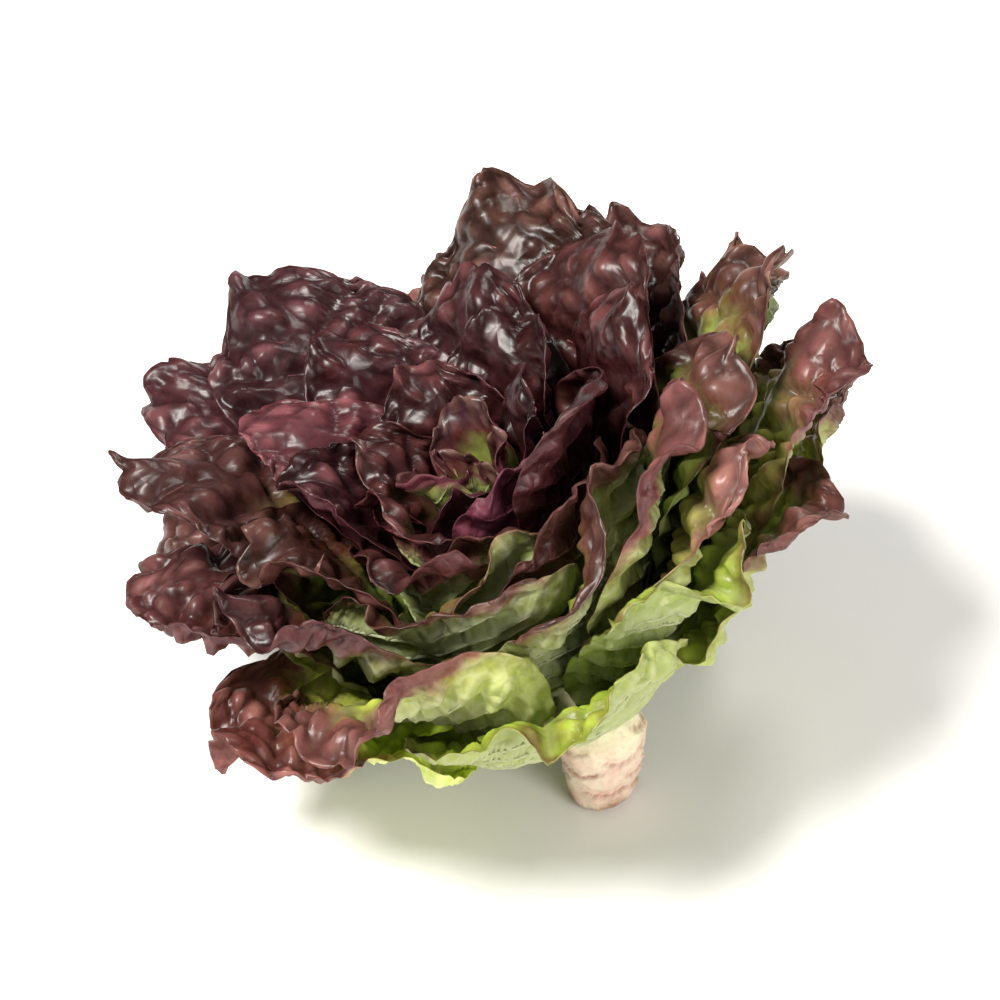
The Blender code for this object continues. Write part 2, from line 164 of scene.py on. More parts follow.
@dataclass(frozen=True)
class StemForm:
    """The stem's sizes: an upright stump and above it a taper along the head's axis."""

    stump_height: float = 0.030
    foot_radius: float = 0.0120
    top_radius: float = 0.0150
    above_stump: float = 0.062
    tip_radius: float = 0.0045
    taper_power: float = 0.8
    bend_half: float = 0.008
    margin: float = 0.0014

    def spine(self, height: float) -> np.ndarray:
        """The middle of the stem at a height along it.

        Args:
            height: length along the stem from its cut end.

        Returns:
            The point.
        """
        above = height - self.stump_height
        if above <= 0.0:
            return UP * height
        return UP * self.stump_height + AXIS * above

    def radius(self, height: float) -> float:
        """The stem's radius at a height along it.

        Args:
            height: length along the stem from its cut end.

        Returns:
            The radius.
        """
        if height < self.stump_height:
            grown = height / self.stump_height
            return self.foot_radius + (self.top_radius - self.foot_radius) * float(smooth(grown))
        left = max(1.0 - (height - self.stump_height) / self.above_stump, 0.0)
        return self.tip_radius + (self.top_radius - self.tip_radius) * left**self.taper_power

    def keep_off(self, points: np.ndarray) -> None:
        """Moves a leaf's points out of the stem, square to its run.

        Args:
            points: the leaf's grid, changed in place.
        """
        top = UP * self.stump_height
        last = self.stump_height + self.above_stump
        for start, way, low, high in (
            (np.zeros(3), UP, 0.0, self.stump_height),
            (top, AXIS, self.stump_height, last),
        ):
            along = (points - start) @ way
            out = points - start - along[..., None] * way
            distance = np.linalg.norm(out, axis=-1, keepdims=True)
            height = np.clip(along + low, low, high)
            radius = np.vectorize(self.radius)(height) + self.margin
            beside = (along > -self.margin) & (along < high - low + self.margin)
            short = np.where(beside, np.maximum(radius - distance[..., 0], 0.0), 0.0)
            points += out / np.maximum(distance, 1e-9) * short[..., None]


@dataclass(frozen=True)
class BladeForm:
    """What all blades share with their solids: thickness, stalk, end and coarse ruffles."""

    stem: StemForm = StemForm()
    seed: int = 411
    thickness: float = 0.0009
    leaf_gap: float = 0.0004
    rib_reach: float = 0.80
    rib_half_width: float = 0.35
    midrib_steps: int = 80
    recurve_power: float = 1.2
    curl_start: float = 0.62
    stalk_end: float = 0.12
    blade_spread: float = 0.48
    end_start: float = 0.70
    corner_turn: float = math.radians(52.0)
    lobe_depth: float = 0.09
    lobes_along: float = 2.4
    least_turn_radius: float = 0.012
    sway: float = 0.10
    roll_out: float = 0.22
    roll_in: float = 0.16
    twist: float = 0.16
    rim_power: float = 2.4
    rim_centre: float = 0.45
    rim_aspect: float = 0.62
    rim_share: float = 0.8
    second_wave: float = 0.5
    more_waves: float = 2.0
    bulge_share: float = 0.4
    bulges_along: float = 2.2

    def midrib(self, leaf: Leaf) -> tuple[np.ndarray, np.ndarray]:
        """The midrib's run at even steps, ending at the leaf's tip.

        Args:
            leaf: the leaf.

        Returns:
            Distances from the axis and heights above the foot.
        """
        share = (np.arange(self.midrib_steps) + 0.5) / self.midrib_steps
        tip = smooth((share - self.curl_start) / (1.0 - self.curl_start))
        turn = np.radians(leaf.recurve * share**self.recurve_power + leaf.curl * tip)
        out = np.concatenate(([0.0], np.cumsum(np.sin(turn))))
        up = np.concatenate(([0.0], np.cumsum(np.cos(turn))))
        swing = math.radians(leaf.opening) - math.atan2(out[-1], up[-1])
        scale = leaf.length / math.hypot(out[-1], up[-1])
        start = self.stem.radius(self.stem.stump_height + leaf.foot)
        start = start + self.leaf_gap + leaf.foot_thickness * 0.5
        distance = (out * math.cos(swing) + up * math.sin(swing)) * scale
        height = (up * math.cos(swing) - out * math.sin(swing)) * scale
        return distance + start, height

    def cage(self, leaf: Leaf, number: int) -> tuple[np.ndarray, np.ndarray]:
        """The leaf's middle surface as a coarse grid, from foot to tip and side to side.

        Args:
            leaf: the leaf.
            number: its place in the head, which seeds its draws.

        Returns:
            The plain grid, and what its ruffles add.
        """
        draw = np.random.default_rng(self.seed + number)
        along, across = leaf.grid()
        half = self.half_width(leaf, along, draw)
        place = along - self.round_sag(along, across)
        out, up = self.midrib(leaf)
        where = np.linspace(0.0, 1.0, len(out))
        distance = np.interp(place, where, out)
        height = np.interp(place, where, up)
        sway = draw.uniform(-self.sway, self.sway)
        spread = half * across / np.maximum(distance, self.least_turn_radius)
        turn = math.radians(leaf.azimuth) + sway * along**2 + spread
        points = (
            self.stem.spine(self.stem.stump_height + leaf.foot)
            + AXIS * height[..., None]
            + SIDE * (distance * np.cos(turn))[..., None]
            + BACK * (distance * np.sin(turn))[..., None]
        )
        cup, ruffle = self.lift(leaf, along, across, half, draw)
        normals = grid_normals(points)
        return points + normals * cup[..., None], normals * ruffle[..., None]

    def end_share(self, along: np.ndarray) -> np.ndarray:
        """How far along the round end of the blade each row is, from 0 to 1."""
        return np.clip((along - self.end_start) / (1.0 - self.end_start), 0.0, 1.0)

    def round_sag(self, along: np.ndarray, across: np.ndarray) -> np.ndarray:
        """How far each point of a row falls behind the midrib, so that the end is round.

        Args:
            along: shares from foot to tip, as a column.
            across: shares from side to side, as a row.

        Returns:
            Shares of the leaf's length.
        """
        share = self.end_share(along)
        fall = 1.0 - np.sqrt(1.0 - (across * math.cos(self.corner_turn)) ** 2)
        fall = fall / (1.0 - math.sin(self.corner_turn))
        return (1.0 - self.end_start) * (share - np.sin(share * self.corner_turn)) * fall

    def half_width(self, leaf: Leaf, along: np.ndarray, draw: np.random.Generator) -> np.ndarray:
        """Half the blade's width: a slim foot, a broad blade and shallow lobes.

        Args:
            leaf: the leaf.
            along: shares from foot to tip.
            draw: the leaf's own draws.

        Returns:
            Half widths in metres.
        """
        blade = smooth((along - self.stalk_end) / self.blade_spread)
        round_end = np.cos(self.end_share(along) * self.corner_turn)
        phase = draw.uniform(0.0, math.tau)
        lobes = np.sin(math.tau * self.lobes_along * along + phase)
        lobes = 1.0 + self.lobe_depth * lobes * smooth(along)
        foot = leaf.foot_half_width
        return foot + (leaf.width / 2.0 - foot) * blade * round_end * lobes

    def lift(
        self,
        leaf: Leaf,
        along: np.ndarray,
        across: np.ndarray,
        half: np.ndarray,
        draw: np.random.Generator,
    ) -> tuple[np.ndarray, np.ndarray]:
        """How far the blade stands off its smooth surface.

        Args:
            leaf: the leaf.
            along: shares from foot to tip, as a column.
            across: shares from side to side, as a row.
            half: half widths.
            draw: the leaf's own draws.

        Returns:
            The cup, and the roll, twist and ruffles together.
        """
        cup = math.radians(leaf.cup) * half * across**2
        roll = draw.uniform(-self.roll_out, self.roll_in) * half * across**4 * smooth(along)
        twist = draw.uniform(-self.twist, self.twist) * half * across * smooth(along)
        angle = np.arctan2(across * self.rim_aspect, along - self.rim_centre)
        rim = np.maximum(np.abs(across), 2.0 * along - 1.0) ** self.rim_power
        rim = rim * smooth((along - self.stalk_end) / self.blade_spread)
        phase = draw.uniform(0.0, math.tau)
        wave = np.sin(leaf.waves * angle + phase)
        more = np.sin((leaf.waves + self.more_waves) * angle + 2.0 * phase)
        wave = wave + self.second_wave * more
        bulge = np.sin(math.pi * along * self.bulges_along + phase)
        bulge = bulge * (1.0 - np.abs(across)) * smooth(along)
        relief = rim * wave * self.rim_share + bulge * self.bulge_share
        return cup, roll + twist + leaf.ruffle * relief

    def shell(self, leaf: Leaf, points: np.ndarray, extra: float) -> np.ndarray:
        """The leaf's coarse points with thickness, as the solids have it.

        Args:
            leaf: the leaf.
            points: its middle surface.
            extra: what the thickness grows by.

        Returns:
            The upper face's points and then the lower face's.
        """
        normals = grid_normals(points)
        along, across = leaf.grid()
        rib = np.clip(1.0 - along / self.rib_reach, 0.0, 1.0)
        rib = rib * bell(across, self.rib_half_width)
        thick = self.thickness + max(leaf.foot_thickness - self.thickness, 0.0) * rib
        upper = points + normals * (self.thickness * 0.5 + extra * 0.5)
        lower = points - normals * (thick - self.thickness * 0.5 + extra * 0.5)[..., None]
        return np.concatenate((upper.reshape(-1, 3), lower.reshape(-1, 3)))


def shell_triangles(rows: int, columns: int) -> np.ndarray:
    """Triangles of a leaf's shell, split alike on both faces and walled round the rim.

    Args:
        rows: cells from foot to tip.
        columns: cells from side to side.

    Returns:
        Three point numbers a triangle.
    """
    wide = columns + 1
    count = (rows + 1) * wide
    corner = (np.arange(rows)[:, None] * wide + np.arange(columns)[None, :]).ravel()
    a, b, c, d = corner, corner + wide, corner + wide + 1, corner + 1
    faces = np.stack((a, b, c, a, c, d, a, c, b, a, d, c), axis=1).reshape(-1, 4, 3)
    faces = faces + np.array((0, 0, count, count))[None, :, None]
    rim = [i * wide for i in range(rows)]
    rim += [rows * wide + j for j in range(columns)]
    rim += [i * wide + columns for i in range(rows, 0, -1)]
    rim += list(range(columns, 0, -1))
    p = np.array(rim)
    q = np.roll(p, -1)
    wall = np.stack((q, p, p + count, q, p + count, q + count), axis=1)
    return np.concatenate((faces.reshape(-1, 3), wall.reshape(-1, 3)))


@dataclass(frozen=True)
class Packing:
    """How crossing leaves are bent clear of each other, as in the solids."""

    blades: BladeForm = BladeForm()
    step_first: float = 0.0014
    step_last: float = 0.0004
    most_rounds: int = 200
    clearance: float = 0.0006
    least_clearance: float = 0.0003
    grow_rounds: int = 70
    surface_lift: float = 0.0012
    way_share: float = 0.8
    inner_give: float = 0.12
    open_give: float = 0.70
    open_from: float = 40.0
    open_to: float = 80.0
    push_gain: float = 1.8
    stiff_foot: float = 0.2
    foot_give: float = 0.3
    spread: float = 0.12
    spread_least: float = 0.1

    def crossings(
        self,
        leaves: list[Leaf],
        cages: list[np.ndarray],
        faces: list[list],
        corners: list[np.ndarray],
        clearance: float,
    ) -> tuple[list[np.ndarray], list[np.ndarray], int]:
        """Finds where each leaf is crossed.

        Args:
            leaves: the leaves.
            cages: their middle surfaces.
            faces: their shells' triangles.
            corners: the grid points of each triangle.
            clearance: the gap to keep.

        Returns:
            Pushes from leaves inside, pushes from leaves outside, and the pairs that cross.
        """
        shells = [self.blades.shell(leaf, cage, clearance) for leaf, cage in zip(leaves, cages)]
        trees = [BVHTree.FromPolygons(s.tolist(), f) for s, f in zip(shells, faces)]
        lows = np.array([s.min(axis=0) for s in shells])
        highs = np.array([s.max(axis=0) for s in shells])
        outward = [np.zeros(cage.shape[:2]) for cage in cages]
        inner = [np.zeros(cage.shape[:2]) for cage in cages]
        crossing = 0
        for i in range(len(leaves)):
            near = np.all((lows[i] <= highs[i + 1 :]) & (highs[i] >= lows[i + 1 :]), axis=1)
            for j in np.nonzero(near)[0] + i + 1:
                pairs = trees[i].overlap(trees[j])
                if pairs:
                    crossing += 1
                    pairs = np.array(pairs)
                    outward[i].ravel()[corners[i][pairs[:, 0]].ravel()] = 1.0
                    inner[j].ravel()[corners[j][pairs[:, 1]].ravel()] = 1.0
        return outward, inner, crossing

    def bend_clear(self, leaves: list[Leaf]) -> list[np.ndarray]:
        """Grows the ruffles and moves crossing leaves apart as they grow.

        Args:
            leaves: the leaves, the most open first.

        Returns:
            The middle surface of each leaf.
        """
        plains, reliefs = zip(*[self.blades.cage(leaf, k) for k, leaf in enumerate(leaves)])
        faces = [shell_triangles(leaf.rows, leaf.columns).tolist() for leaf in leaves]
        corners = [np.array(f) % plain[..., 0].size for f, plain in zip(faces, plains)]
        aims = [
            unit(grid_normals(plain) + leaf.inward() * self.way_share)
            for leaf, plain in zip(leaves, plains)
        ]
        moves = [np.zeros_like(plain) for plain in plains]
        cages = [plain.copy() for plain in plains]
        for turn in range(self.most_rounds):
            grown = min(turn / self.grow_rounds, 1.0)
            clearance = self.clearance if turn < self.grow_rounds else self.least_clearance
            for k in range(len(leaves)):
                cages[k] = plains[k] + reliefs[k] * grown + moves[k]
                self.blades.stem.keep_off(cages[k])
                cages[k][..., 2] = np.maximum(cages[k][..., 2], self.surface_lift)
            outward, inner, crossing = self.crossings(leaves, cages, faces, corners, clearance)
            if grown >= 1.0 and not crossing:
                break
            step = self.step_first + (self.step_last - self.step_first) * turn / self.most_rounds
            spread = self.spread * max(1.0 - grown, self.spread_least)
            for k, leaf in enumerate(leaves):
                if not (outward[k].any() or inner[k].any()):
                    continue
                share = (leaf.opening - self.open_from) / (self.open_to - self.open_from)
                give = self.inner_give + self.open_give * smooth(share)
                push = inner[k] * give - outward[k]
                field = np.clip(soften(push) * self.push_gain, -1.0, 1.0)
                free = smooth(np.linspace(0.0, 1.0, leaf.rows + 1) / self.stiff_foot)[:, None]
                free = self.foot_give + (1.0 - self.foot_give) * free
                move = cages[k] - plains[k] - reliefs[k] * grown
                move += aims[k] * (field * free * step)[..., None]
                moves[k] = move * (1.0 - spread) + soften(move) * spread
        LOG.info("leaves bent clear after %d rounds, %d pairs left", turn, crossing)
        return cages


@dataclass(frozen=True)
class RingPlan:
    """A ring of leaves as grown: its leaves, its coarse grid and its ruffles."""

    ring: Ring
    leaves: tuple[tuple[float, ...], ...]
    rows: int
    columns: int
    ruffle: float
    waves: float


# Each leaf below is: azimuth round the head from +X, the opening of its tip from the axis and its
# reach, both from the top of the stump, width in mm, how far it turns outward on its way, its
# cup, and the curl of its tip
LOWER_LEAVES = (
    (154, 74, 132, 84, 16, 4, 14),
    (112, 84, 154, 94, 18, 4, 10),
    (72, 86, 156, 96, 16, 6, 10),
    (34, 69, 152, 102, 12, 8, 12),
    (352, 62, 122, 84, 6, 12, 24),
    (322, 52, 114, 92, -16, 20, 26),
    (266, 58, 108, 104, -24, 22, 28),
    (228, 55, 130, 104, -16, 26, 28),
    (190, 62, 134, 86, 4, 20, 30),
    (92, 70, 158, 106, 12, 8, 12),
    (134, 65, 156, 102, 12, 8, 14),
)
OUTER_LEAVES = (
    (324, 32, 126, 108, -20, 20, 24),
    (338, 50, 128, 80, 22, 14, 30),
    (18, 58, 160, 84, 16, 14, 20),
    (44, 58, 178, 98, 14, 6, 12),
    (88, 60, 168, 84, 10, 0, 24),
    (124, 54, 176, 84, 10, -2, 26),
    (154, 51, 178, 86, 8, 2, 22),
    (180, 48, 170, 88, 10, 6, 16),
    (208, 42, 150, 92, -4, 24, 28),
    (242, 32, 124, 104, -22, 22, 26),
    (284, 27, 112, 104, -22, 20, 22),
)
MIDDLE_LEAVES = (
    (30, 50, 178, 80, 12, 4, 20),
    (56, 46, 186, 88, 8, -2, 8),
    (72, 39, 204, 88, 4, -6, 14),
    (97, 41, 186, 78, 4, -6, 30),
    (120, 38, 210, 82, 4, -6, 26),
    (143, 39, 204, 80, 6, -6, 28),
    (168, 37, 188, 78, 4, -4, 30),
    (202, 32, 148, 72, 10, 20, 34),
    (238, 27, 122, 66, 0, 20, 30),
    (278, 24, 112, 64, -4, 20, 28),
    (312, 28, 122, 66, 0, 20, 34),
    (336, 37, 140, 76, 18, 18, 30),
    (4, 42, 146, 76, 14, 18, 24),
)
INNER_LEAVES = (
    (46, 34, 174, 82, 10, -12, 44),
    (18, 30, 154, 72, 10, -4, 32),
    (84, 29, 168, 58, 4, -10, 30),
    (116, 28, 168, 58, 4, -10, 34),
    (149, 28, 164, 58, 4, -8, 34),
    (184, 23, 144, 54, 8, 18, 34),
    (222, 18, 126, 48, 6, 18, 30),
    (262, 15, 114, 44, 4, 18, 26),
    (300, 18, 124, 46, 6, 18, 34),
    (340, 24, 142, 62, 12, 18, 28),
    (62, 20, 148, 56, 8, 16, 16),
    (104, 18, 142, 52, 8, 16, 16),
    (160, 15, 134, 48, 8, 16, 18),
    (20, 15, 132, 46, 8, 16, 18),
)


@dataclass(frozen=True)
class HeadPlan:
    """Where every leaf of the head grows."""

    stem: StemForm = StemForm()
    heart_count: int = 7
    heart_first: tuple[float, ...] = (80, 11, 126, 34, 6, 8, 12)
    heart_last: tuple[float, ...] = (80, 2, 104, 18, 4, 4, 4)
    foot_first: float = 0.0015
    foot_last: float = 0.052
    foot_wide_share: float = 0.062
    foot_thick_share: float = 0.030

    def heart_rows(self) -> tuple[tuple[float, ...], ...]:
        """The small leaves round the growing point, each a golden angle on from the last."""
        rows = []
        for number in range(self.heart_count):
            share = number / (self.heart_count - 1)
            row = [a + (b - a) * share for a, b in zip(self.heart_first, self.heart_last)]
            row[0] = (self.heart_first[0] + GOLDEN_ANGLE * number) % 360.0
            rows.append(tuple(row))
        return tuple(rows)

    def leaves(self) -> list[Leaf]:
        """All the leaves, the most open and lowest first and the heart last.

        Returns:
            The leaves in the order that the solids have.
        """
        plans = (
            RingPlan(Ring.LOWER, LOWER_LEAVES, 9, 8, 0.0105, 5.0),
            RingPlan(Ring.OUTER, OUTER_LEAVES, 9, 8, 0.0105, 5.0),
            RingPlan(Ring.MIDDLE, MIDDLE_LEAVES, 9, 8, 0.0060, 5.0),
            RingPlan(Ring.INNER, INNER_LEAVES, 8, 6, 0.0050, 4.0),
            RingPlan(Ring.HEART, self.heart_rows(), 6, 4, 0.0035, 3.0),
        )
        grown = [(plan, number, row) for plan in plans for number, row in enumerate(plan.leaves, 1)]
        grown.sort(key=lambda item: -item[2][1])
        leaves = []
        for place, (plan, number, row) in enumerate(grown):
            azimuth, opening, reach, width, recurve, cup, curl = row
            foot = self.foot_first + (self.foot_last - self.foot_first) * place / (len(grown) - 1)
            radius = self.stem.radius(self.stem.stump_height + foot)
            out = math.sin(math.radians(opening)) * reach / 1000.0 - radius
            up = math.cos(math.radians(opening)) * reach / 1000.0 - foot
            leaves.append(
                Leaf(
                    name=f"{plan.ring.value}_{number:02d}",
                    azimuth=azimuth,
                    opening=math.degrees(math.atan2(out, up)),
                    length=math.hypot(out, up),
                    width=width / 1000.0,
                    recurve=recurve,
                    cup=cup,
                    curl=curl,
                    foot=foot,
                    foot_half_width=width / 1000.0 * self.foot_wide_share,
                    foot_thickness=width / 1000.0 * self.foot_thick_share,
                    rows=plan.rows,
                    columns=plan.columns,
                    ruffle=plan.ruffle,
                    waves=plan.waves,
                )
            )
        return leaves


def extended(grid: np.ndarray) -> np.ndarray:
    """A grid with one more row before and after, in line with the last two at each end."""
    return np.concatenate((2.0 * grid[:1] - grid[1:2], grid, 2.0 * grid[-1:] - grid[-2:-1]))


def spline_sample(cage: np.ndarray, u: np.ndarray, v: np.ndarray) -> np.ndarray:
    """Points on the smooth surface that runs through a coarse grid's points.

    Args:
        cage: the coarse grid.
        u: shares from foot to tip.
        v: shares from -1 to 1 across.

    Returns:
        One point for each u and v.
    """
    pad = extended(extended(cage).swapaxes(0, 1)).swapaxes(0, 1)
    rows, columns = cage.shape[0] - 1, cage.shape[1] - 1
    x = np.clip(u, 0.0, 1.0) * rows
    y = (np.clip(v, -1.0, 1.0) * 0.5 + 0.5) * columns
    i = np.minimum(x.astype(int), rows - 1)
    j = np.minimum(y.astype(int), columns - 1)
    points = np.zeros(x.shape + (3,))
    for a, along in enumerate(spline_weights(x - i)):
        for b, across in enumerate(spline_weights(y - j)):
            points += (along * across)[..., None] * pad[i + a, j + b]
    return points


def spline_weights(t: np.ndarray) -> tuple[np.ndarray, ...]:
    """The weights of the four grid points round a place in a cell.

    Args:
        t: shares from 0 to 1 in the cell.

    Returns:
        Four weights that sum to 1.
    """
    return (
        ((-0.5 * t + 1.0) * t - 0.5) * t,
        (1.5 * t - 2.5) * t * t + 1.0,
        ((-1.5 * t + 2.0) * t + 0.5) * t,
        (0.5 * t - 0.5) * t * t,
    )


@dataclass(frozen=True)
class BladeDetail:
    """The fine forms of a ring's blades. Lengths in metres."""

    rows: int
    columns: int
    blister: float
    blister_size: float
    frill: float
    frills: float
    lobe: float
    roll: float
    swell: float
    vein_pairs: int
    green_to: float
    green_fade: float
    lobes: float = 3.74


# In the order of the rings and of the fields above
DETAIL_ROWS = (
    (80, 60, 0.0104, 0.0095, 0.0034, 9.0, 0.20, 0.0042, 0.0018, 8, 0.66, 0.34),
    (80, 60, 0.0110, 0.0105, 0.0028, 7.0, 0.20, 0.0048, 0.0018, 8, 0.60, 0.34),
    (68, 50, 0.0080, 0.0130, 0.0020, 5.0, 0.20, 0.0048, 0.0014, 7, 0.38, 0.34),
    (50, 38, 0.0062, 0.0110, 0.0016, 5.0, 0.18, 0.0038, 0.0012, 6, 0.24, 0.40),
    (36, 26, 0.0016, 0.0070, 0.0012, 4.0, 0.12, 0.0012, 0.0006, 5, 0.66, 0.40),
)
DETAILS = {ring: BladeDetail(*row) for ring, row in zip(Ring, DETAIL_ROWS)}


@dataclass(frozen=True)
class LeafPattern:
    """What every leaf's finish is drawn with: scales to the metre, and shares.

    A slope is what a share gains from the upper face to the lower one.
    """

    patch_scale: float = 42.0
    mottle_scale: float = 170.0
    noise_detail: float = 3.0
    patch_red: float = 0.95
    mottle_red: float = 0.40
    net_scale: float = 240.0
    net_width: float = 0.20
    net_shown: float = 0.04
    net_slope: float = 0.10
    broad_scale: float = 118.0
    broad_width: float = 0.34
    broad_slope: float = 0.22
    upper_stops: tuple[float, ...] = (0.05, 0.36, 0.62, 0.92)
    under_stops: tuple[float, ...] = (0.08, 0.46, 0.72, 0.98)
    vein_stops: tuple[float, ...] = (0.35, 0.85)
    # Where in the patches the painted sheen shows on the blister tops
    lit_stops: tuple[float, ...] = (0.38, 0.66)
    vein_shown: float = 0.16
    vein_slope: float = 0.62
    # Painted sheen: its slope from the upper face to the lower one, and its share on the blister
    # tops
    under_sheen: float = -0.8
    puff_sheen: float = 0.50
    # Where a faded leaf gets the painted sheen colour, by the mottle
    sheen_fade_from: float = 0.25
    sheen_fade_mottle: float = 0.8
    edge_shown: float = 0.20
    # Brightness painted on: shade in the furrows between blisters, light on their tops
    furrow_light: float = 0.62
    puff_light: float = 0.68
    rough_mottle: float = 0.12
    bump_slope: float = 1.5
    bump_upper: float = -0.40
    bump_strength: float = 0.60
    bump_height: float = 0.0012


@dataclass(frozen=True)
class LeafFinish:
    """Colours, painted sheen and gloss of a ring's leaves."""

    green: Colour
    olive: Colour
    russet: Colour
    burgundy: Colour
    under_green: Colour
    under_olive: Colour
    under_mauve: Colour
    under_wine: Colour
    vein_green: Colour
    vein_pink: Colour
    edge: Colour
    # The painted sheen colour: pale mauve put on blister tops and faded leaves in place of
    # reflection
    painted_sheen: Colour
    upper_roughness: float
    lower_roughness: float
    glow: float
    gloss: float = 0.40
    pattern: LeafPattern = LeafPattern()

    def material(self, name: str) -> bpy.types.Material:
        """Builds the ring's material.

        Args:
            name: the material's name.

        Returns:
            A material that reads the blade's own attributes.
        """
        graph, look = Graph(name), self.pattern
        words = ("redness", "face", "vein", "rim", "tone", "puff", "fade", "hue")
        red, face, vein, rim, tone, puff, fade, hue = map(graph.attribute, words)
        patches = graph.noise(look.patch_scale, look.noise_detail)
        mottle = graph.noise(look.mottle_scale, look.noise_detail)
        net = graph.net(look.net_scale, look.net_width)
        broad = graph.net(look.broad_scale, look.broad_width)
        red = graph.add(red, graph.centred(patches, look.patch_red))
        red = graph.add(red, graph.centred(mottle, look.mottle_red))
        tints = (self.green, self.olive, self.russet, self.burgundy)
        upper = graph.ramp(red, look.upper_stops, tints)
        tints = (self.under_green, self.under_olive, self.under_mauve, self.under_wine)
        under = graph.ramp(red, look.under_stops, tints)
        colour = graph.mix(face, upper, under)
        vein_colour = graph.ramp(red, look.vein_stops, (self.vein_green, self.vein_pink))
        shown = graph.times(vein, graph.line(face, look.vein_slope, look.vein_shown))
        colour = graph.mix(shown, colour, vein_colour)
        meshes = graph.times(net, graph.line(face, look.net_slope, look.net_shown))
        meshes = graph.add(meshes, graph.times(broad, graph.times(face, look.broad_slope)))
        colour = graph.mix(meshes, colour, vein_colour)
        # Painted sheen: pale mauve mixed onto the blister tops in patches, mostly on the upper
        # face, in place of reflection
        over = graph.line(face, look.under_sheen, 1.0)
        sheen_tops = graph.times(graph.times(puff, look.puff_sheen), over)
        lit = graph.times(graph.ramp(patches, look.lit_stops, (BLACK, WHITE)), red)
        colour = graph.mix(graph.times(sheen_tops, lit), colour, self.painted_sheen)
        # Leaves faded to pink get the same pale colour: partly their own pale tone, partly painted
        # sheen
        faded_and_sheen = graph.times(fade, graph.line(mottle, look.sheen_fade_mottle, look.sheen_fade_from))
        colour = graph.mix(graph.times(faded_and_sheen, over), colour, self.painted_sheen)
        edged = graph.times(rim, graph.times(patches, look.edge_shown))
        colour = graph.mix(edged, colour, self.edge)
        bright = graph.node("ShaderNodeHueSaturation")
        graph.link(hue, bright.inputs["Hue"])
        graph.link(colour, bright.inputs["Color"])
        # Painted shade in the furrows between blisters and painted light on their tops, through the
        # brightness
        painted_shade_and_light = graph.line(graph.times(puff, over), look.puff_light, look.furrow_light)
        graph.link(graph.times(tone, painted_shade_and_light), bright.inputs["Value"])
        least = self.upper_roughness - look.rough_mottle / 2.0
        rough = graph.line(face, self.lower_roughness - self.upper_roughness, least)
        rough = graph.add(rough, graph.times(mottle, look.rough_mottle))
        shader = graph.shader("ShaderNodeBsdfPrincipled", bright.outputs["Color"])
        graph.link(rough, shader.inputs["Roughness"])
        graph.link(self.gloss, shader.inputs["Specular IOR Level"])
        relief = graph.times(broad, graph.line(face, look.bump_slope, look.bump_upper))
        graph.bump(relief, shader, look.bump_strength, look.bump_height)
        thin = graph.shader("ShaderNodeBsdfTranslucent", bright.outputs["Color"])
        both = graph.node("ShaderNodeMixShader")
        sources = (self.glow, shader.outputs["BSDF"], thin.outputs["BSDF"])
        for source, target in zip(sources, both.inputs):
            graph.link(source, target)
        return graph.finished(both.outputs["Shader"])


